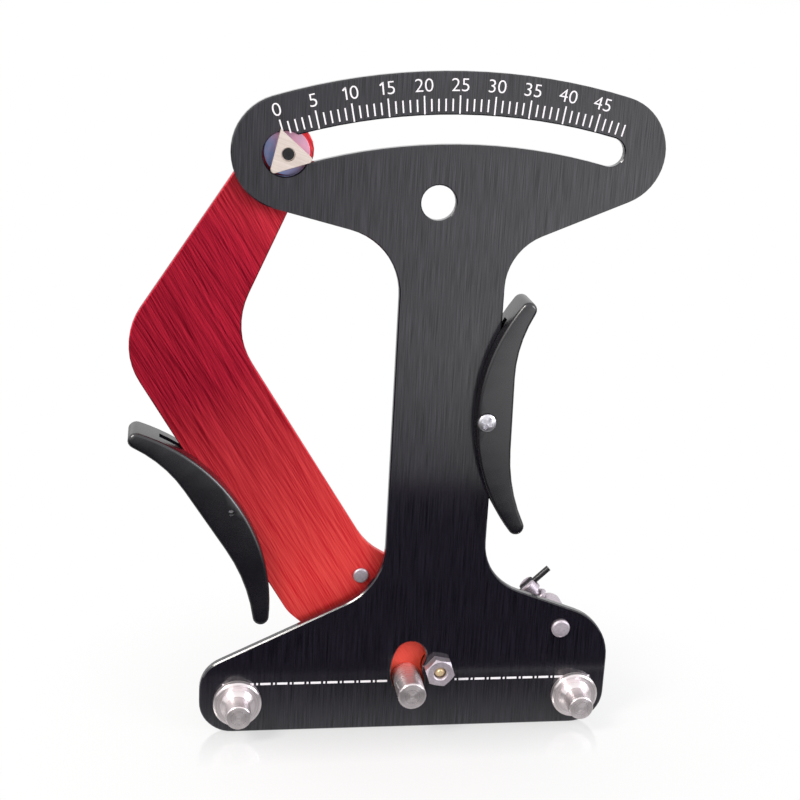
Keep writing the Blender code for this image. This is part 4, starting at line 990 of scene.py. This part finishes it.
def typed_number(value):
    """A number as a thin flat mesh in the XY plane, centred on the origin."""
    text = bpy.data.curves.new("number", "FONT")
    text.body = str(value)
    starts_with_one = text.body.startswith("1")
    text.space_character = TIGHT_SPACING if starts_with_one else 1.0
    text.align_x = "CENTER"
    text.align_y = "CENTER"
    text.size = NUMBER_HEIGHT / DIGIT_SHARE * MM
    text.offset = -THINNED * MM
    text.extrude = INK_FILM / 2 * MM
    typed = bpy.data.objects.new("number", text)
    bpy.context.scene.collection.objects.link(typed)
    bpy.context.view_layer.update()
    mesh = bpy.data.meshes.new_from_object(typed.evaluated_get(bpy.context.evaluated_depsgraph_get()))
    if starts_with_one:
        add_flag(mesh)
    bpy.data.objects.remove(typed)
    return mesh


print("numbers are", NUMBER_HEIGHT, "mm tall")

# %% Numbers along the scale
NUMBER_RADIUS = 173.7
NUMBER_WIDTH_SHARE = 1.06
numbers = bmesh.new()
for count in range(0, TICKS, TICKS_PER_NUMBER):
    degrees = FIRST_TICK_DEG + TICK_STEP_DEG * count
    mesh = typed_number(count)
    upright = Matrix.Rotation(math.radians(90.0), 4, "X")
    leaned = Matrix.Rotation(math.radians(degrees), 4, "Y")
    widened = Matrix.Scale(NUMBER_WIDTH_SHARE, 4, Vector((1.0, 0.0, 0.0)))
    place = Matrix.Translation(on_scale(NUMBER_RADIUS, degrees, -INK_FILM / 2))
    mesh.transform(place @ leaned @ upright @ widened)
    numbers.from_mesh(mesh)
    bpy.data.meshes.remove(mesh)
bmesh.ops.recalc_face_normals(numbers, faces=numbers.faces)
piece_from(numbers, "scale_numbers", INK, "plate")
print("printed numbers from 0 to", count)

# %% [markdown]
# A dash-dot line runs across the base between the two fixed posts, broken where the slot and the
# hexagonal head are.

# %% Dash-dot line
LINE_Z = -3.55
LINE_WIDTH = 0.7
DASH = (0.0, 3.1)
DOT = (3.8, 4.4)
REPEAT = 5.0
SHORTEST_MARK = 0.25
# Where each run of the line starts and ends, and where its first dash would start.
LINE_RUNS = ((-65.2, -14.9, -68.7), (4.2, 47.4, 1.3))
line_marks = bmesh.new()
for start, end, at in LINE_RUNS:
    while at < end:
        for mark in (DASH, DOT):
            left = max(at + mark[0], start)
            right = min(at + mark[1], end)
            if right - left > SHORTEST_MARK:
                place = spot((left + right) / 2, -INK_FILM / 2, LINE_Z)
                slab(line_marks, right - left, LINE_WIDTH, place)
        at += REPEAT
piece_from(line_marks, "base_line", INK, "plate")
print("printed a line", LINE_WIDTH, "mm wide across the base")

# %% [markdown]
# ## A white room
#
# Rays from the camera, from gloss and from glass see a white room, while the room's light on the
# object stays plain. The Light Path node tells these rays apart.

# %% World
ROOM_LIGHT = 0.55


def seen_share(tree, path):
    """A value of 1 for rays from the camera, from gloss and through glass, and 0 for others."""
    links = {0: path.outputs["Is Camera Ray"], 1: path.outputs["Is Glossy Ray"]}
    direct = add(tree, "ShaderNodeMath", {"operation": "ADD"}, links)
    links = {0: direct.outputs[0], 1: path.outputs["Is Transmission Ray"]}
    return add(tree, "ShaderNodeMath", {"operation": "ADD", "use_clamp": True}, links).outputs[0]


world = bpy.data.worlds.new("studio")
bpy.context.scene.world = world
world.use_nodes = True
room = world.node_tree
room.nodes.clear()
links = {"Value": seen_share(room, add(room, "ShaderNodeLightPath"))}
strength = add(room, "ShaderNodeMapRange", {"To Min": ROOM_LIGHT, "To Max": 1.0}, links)
links = {"Strength": strength.outputs["Result"]}
sky = add(room, "ShaderNodeBackground", {"Color": linear("#FFFFFF")}, links)
add(room, "ShaderNodeOutputWorld", links={"Surface": sky.outputs["Background"]})
print("the room lights the object at", ROOM_LIGHT)

# %% [markdown]
# ## A floor that is graded for reflections
#
# The plate is upright and the camera looks down on it, so each point of the plate mirrors one place
# of the floor in front of it: the foot mirrors the floor near by, the neck and head mirror it farther
# out. A photographer grades such a floor with light and shade. Here only glossy rays see the grading.
# Close to the plate it fades from grey to dark. Farther out it grows brighter with the distance and
# from left to right, counted as x over the distance.
# The camera sees white floor far from the tool, and paint that keeps the tool's shadow near it. A
# faint mirror in front of the plate's foot gives the tool its reflection.

# %% The floor's grading for glossy rays
FLOOR_Z = spot(0.0, 0.0, -19.22).z
NEAR_END = 0.034
NEAREST_DEPTH = 0.05
NEAR_SHADE = {"From Min": 0.002, "From Max": NEAR_END, "To Min": 0.45, "To Max": 0.1}
SIDE_WASH = {"From Min": -0.1, "From Max": 0.5, "To Min": 0.42, "To Max": 1.6}
DEPTH_WASH = {"From Min": 0.20, "From Max": 0.38, "To Min": 0.48, "To Max": 0.96}


def graded(tree, parts):
    """The floor's strength for glossy rays, from its X and Y in metres."""
    depth = add(tree, "ShaderNodeMath", {"operation": "MULTIPLY", 1: -1.0}, {0: parts.outputs["Y"]})
    ahead = add(tree, "ShaderNodeMath", {"operation": "MAXIMUM", 1: NEAREST_DEPTH}, {0: depth.outputs[0]})
    links = {0: parts.outputs["X"], 1: ahead.outputs[0]}
    aside = add(tree, "ShaderNodeMath", {"operation": "DIVIDE"}, links)
    side = add(tree, "ShaderNodeMapRange", SIDE_WASH, {"Value": aside.outputs[0]})
    rise = add(tree, "ShaderNodeMapRange", DEPTH_WASH, {"Value": depth.outputs[0]})
    links = {0: side.outputs["Result"], 1: rise.outputs["Result"]}
    wash = add(tree, "ShaderNodeMath", {"operation": "MULTIPLY"}, links)
    shade = add(tree, "ShaderNodeMapRange", NEAR_SHADE, {"Value": depth.outputs[0]})
    settings = {"operation": "GREATER_THAN", 1: NEAR_END}
    beyond = add(tree, "ShaderNodeMath", settings, {0: depth.outputs[0]})
    links = {0: beyond.outputs[0], 2: shade.outputs["Result"], 3: wash.outputs[0]}
    return add(tree, "ShaderNodeMix", {"data_type": "FLOAT"}, links).outputs[0]


print("floor at", round(FLOOR_Z, 4), "m")

# %% Floor finish
GLOW_SHARE = {"From Min": 0.03, "From Max": 0.12, "To Min": 0.6, "To Max": 1.0}
MIRROR_SHARE = {"From Min": -0.020, "From Max": -0.001, "To Min": 0.0, "To Max": 0.17}


def white_floor(name):
    material, tree, surface = new_finish(name)
    parts = add(tree, "ShaderNodeSeparateXYZ", links={"Vector": object_point(tree)})
    path = add(tree, "ShaderNodeLightPath")
    gloss = path.outputs["Is Glossy Ray"]
    strength = add(tree, "ShaderNodeMix", {2: 1.0}, {0: gloss, 3: graded(tree, parts)})
    links = {"Strength": strength.outputs[0]}
    glow = add(tree, "ShaderNodeEmission", {"Color": linear("#FFFFFF")}, links)
    paint = add(tree, "ShaderNodeBsdfDiffuse", {"Color": linear("#F4F4F4")})
    flat = object_point(tree, scale=(1.0, 1.0, 0.0))
    far = add(tree, "ShaderNodeVectorMath", {"operation": "LENGTH"}, {0: flat})
    share = add(tree, "ShaderNodeMapRange", GLOW_SHARE, {"Value": far.outputs["Value"]})
    links = {0: share.outputs["Result"], 1: seen_share(tree, path)}
    share = add(tree, "ShaderNodeMath", {"operation": "MULTIPLY"}, links)
    share = add(tree, "ShaderNodeMath", {"operation": "MAXIMUM"}, {0: share.outputs[0], 1: gloss})
    links = {0: share.outputs[0], 1: paint.outputs["BSDF"], 2: glow.outputs["Emission"]}
    white = add(tree, "ShaderNodeMixShader", links=links)
    mirror = add(tree, "ShaderNodeBsdfAnisotropic", {"Color": linear("#FFFFFF"), "Roughness": 0.12})
    sheen = add(tree, "ShaderNodeMapRange", MIRROR_SHARE, {"Value": parts.outputs["Y"]})
    links = {0: sheen.outputs["Result"], 1: white.outputs["Shader"], 2: mirror.outputs["BSDF"]}
    both = add(tree, "ShaderNodeMixShader", links=links)
    tree.links.new(both.outputs["Shader"], surface)
    return material


def stage_sheet(name, width, depth, centre, material):
    """A flat sheet for the stage, with its place in its mesh."""
    mesh_data = bmesh.new()
    bmesh.ops.create_grid(mesh_data, x_segments=1, y_segments=1, size=0.5)
    bmesh.ops.scale(mesh_data, vec=(width, depth, 1.0), verts=mesh_data.verts)
    bmesh.ops.translate(mesh_data, vec=centre, verts=mesh_data.verts)
    made = in_scene(name, mesh_data)
    made.data.materials.append(material)
    return made


FLOOR_SIDE = 24.0
stage_sheet("floor", FLOOR_SIDE, FLOOR_SIDE, (0.0, 0.0, FLOOR_Z), white_floor("white_floor"))
print("laid a floor", FLOOR_SIDE, "m square")

# %% [markdown]
# ## A black card
#
# A photographer's black flag lies on the floor in front of the tool and turns the lower half of the
# black plate deep black. Only reflections see it.

# %% Black card
CARD_WIDTH = 1.6
CARD_DEPTH = 0.176
CARD_Y = -0.122
CARD_LIFT = 0.001
card_black, tree, surface = new_finish("black_card")
felt = add(tree, "ShaderNodeBsdfDiffuse", {"Color": linear("#0A0A0C")})
tree.links.new(felt.outputs["BSDF"], surface)
card = stage_sheet("black_card", CARD_WIDTH, CARD_DEPTH, (0.0, CARD_Y, FLOOR_Z + CARD_LIFT), card_black)
card.visible_camera = False
card.visible_diffuse = False
card.visible_shadow = False
card.visible_transmission = False
print("the card's far edge is", round(CARD_DEPTH / 2 - CARD_Y, 3), "m in front of the plate")

# %% [markdown]
# ## Lamps
#
# A small key lamp from the upper left models the posts and the grips, and a wider, weaker lamp from
# the right opens their shadows. Both are soft boxes that look at the middle of the tool.

# %% Lamps
def soft_lamp(name, place, size, power, colour):
    lamp = bpy.data.lights.new(name, "AREA")
    lamp.shape = "SQUARE"
    lamp.size = size
    lamp.energy = power
    lamp.color = linear(colour)[:3]
    holder = bpy.data.objects.new(name, lamp)
    bpy.context.scene.collection.objects.link(holder)
    holder.location = place
    holder.rotation_euler = (MIDDLE - Vector(place)).to_track_quat("-Z", "Y").to_euler()


MIDDLE = Vector((0.0, 0.0, -0.07))
soft_lamp("key_lamp", (-0.75, -0.55, 0.65), 0.35, 9.0, "#FFFAF4")
soft_lamp("fill_lamp", (0.95, -0.75, 0.30), 0.60, 7.0, "#F4F6FF")

# %% [markdown]
# ## Camera
#
# The camera stands to the left of the tool and above it, and its picture is rolled by a little over
# three degrees, as in the photograph.

# %% Camera
ROLL_DEG = 3.398
eye = bpy.data.cameras.new("camera")
eye.sensor_width = 36.0
eye.lens = 68.01
eye.shift_x = -0.0275
eye.shift_y = -0.0029
eye.clip_start = 0.01
camera = bpy.data.objects.new("camera", eye)
bpy.context.scene.collection.objects.link(camera)
camera.location = (-0.0746, -0.4049, 0.0699)
forward = Vector((0.16978, 0.94115, -0.29226))
roll = Matrix.Rotation(math.radians(ROLL_DEG), 3, "Z")
camera.rotation_euler = (forward.to_track_quat("-Z", "Y").to_matrix() @ roll).to_euler()
bpy.context.scene.camera = camera
bpy.context.scene.view_settings.view_transform = "Standard"
print("camera", round(camera.location.length, 3), "m from the hanging hole")
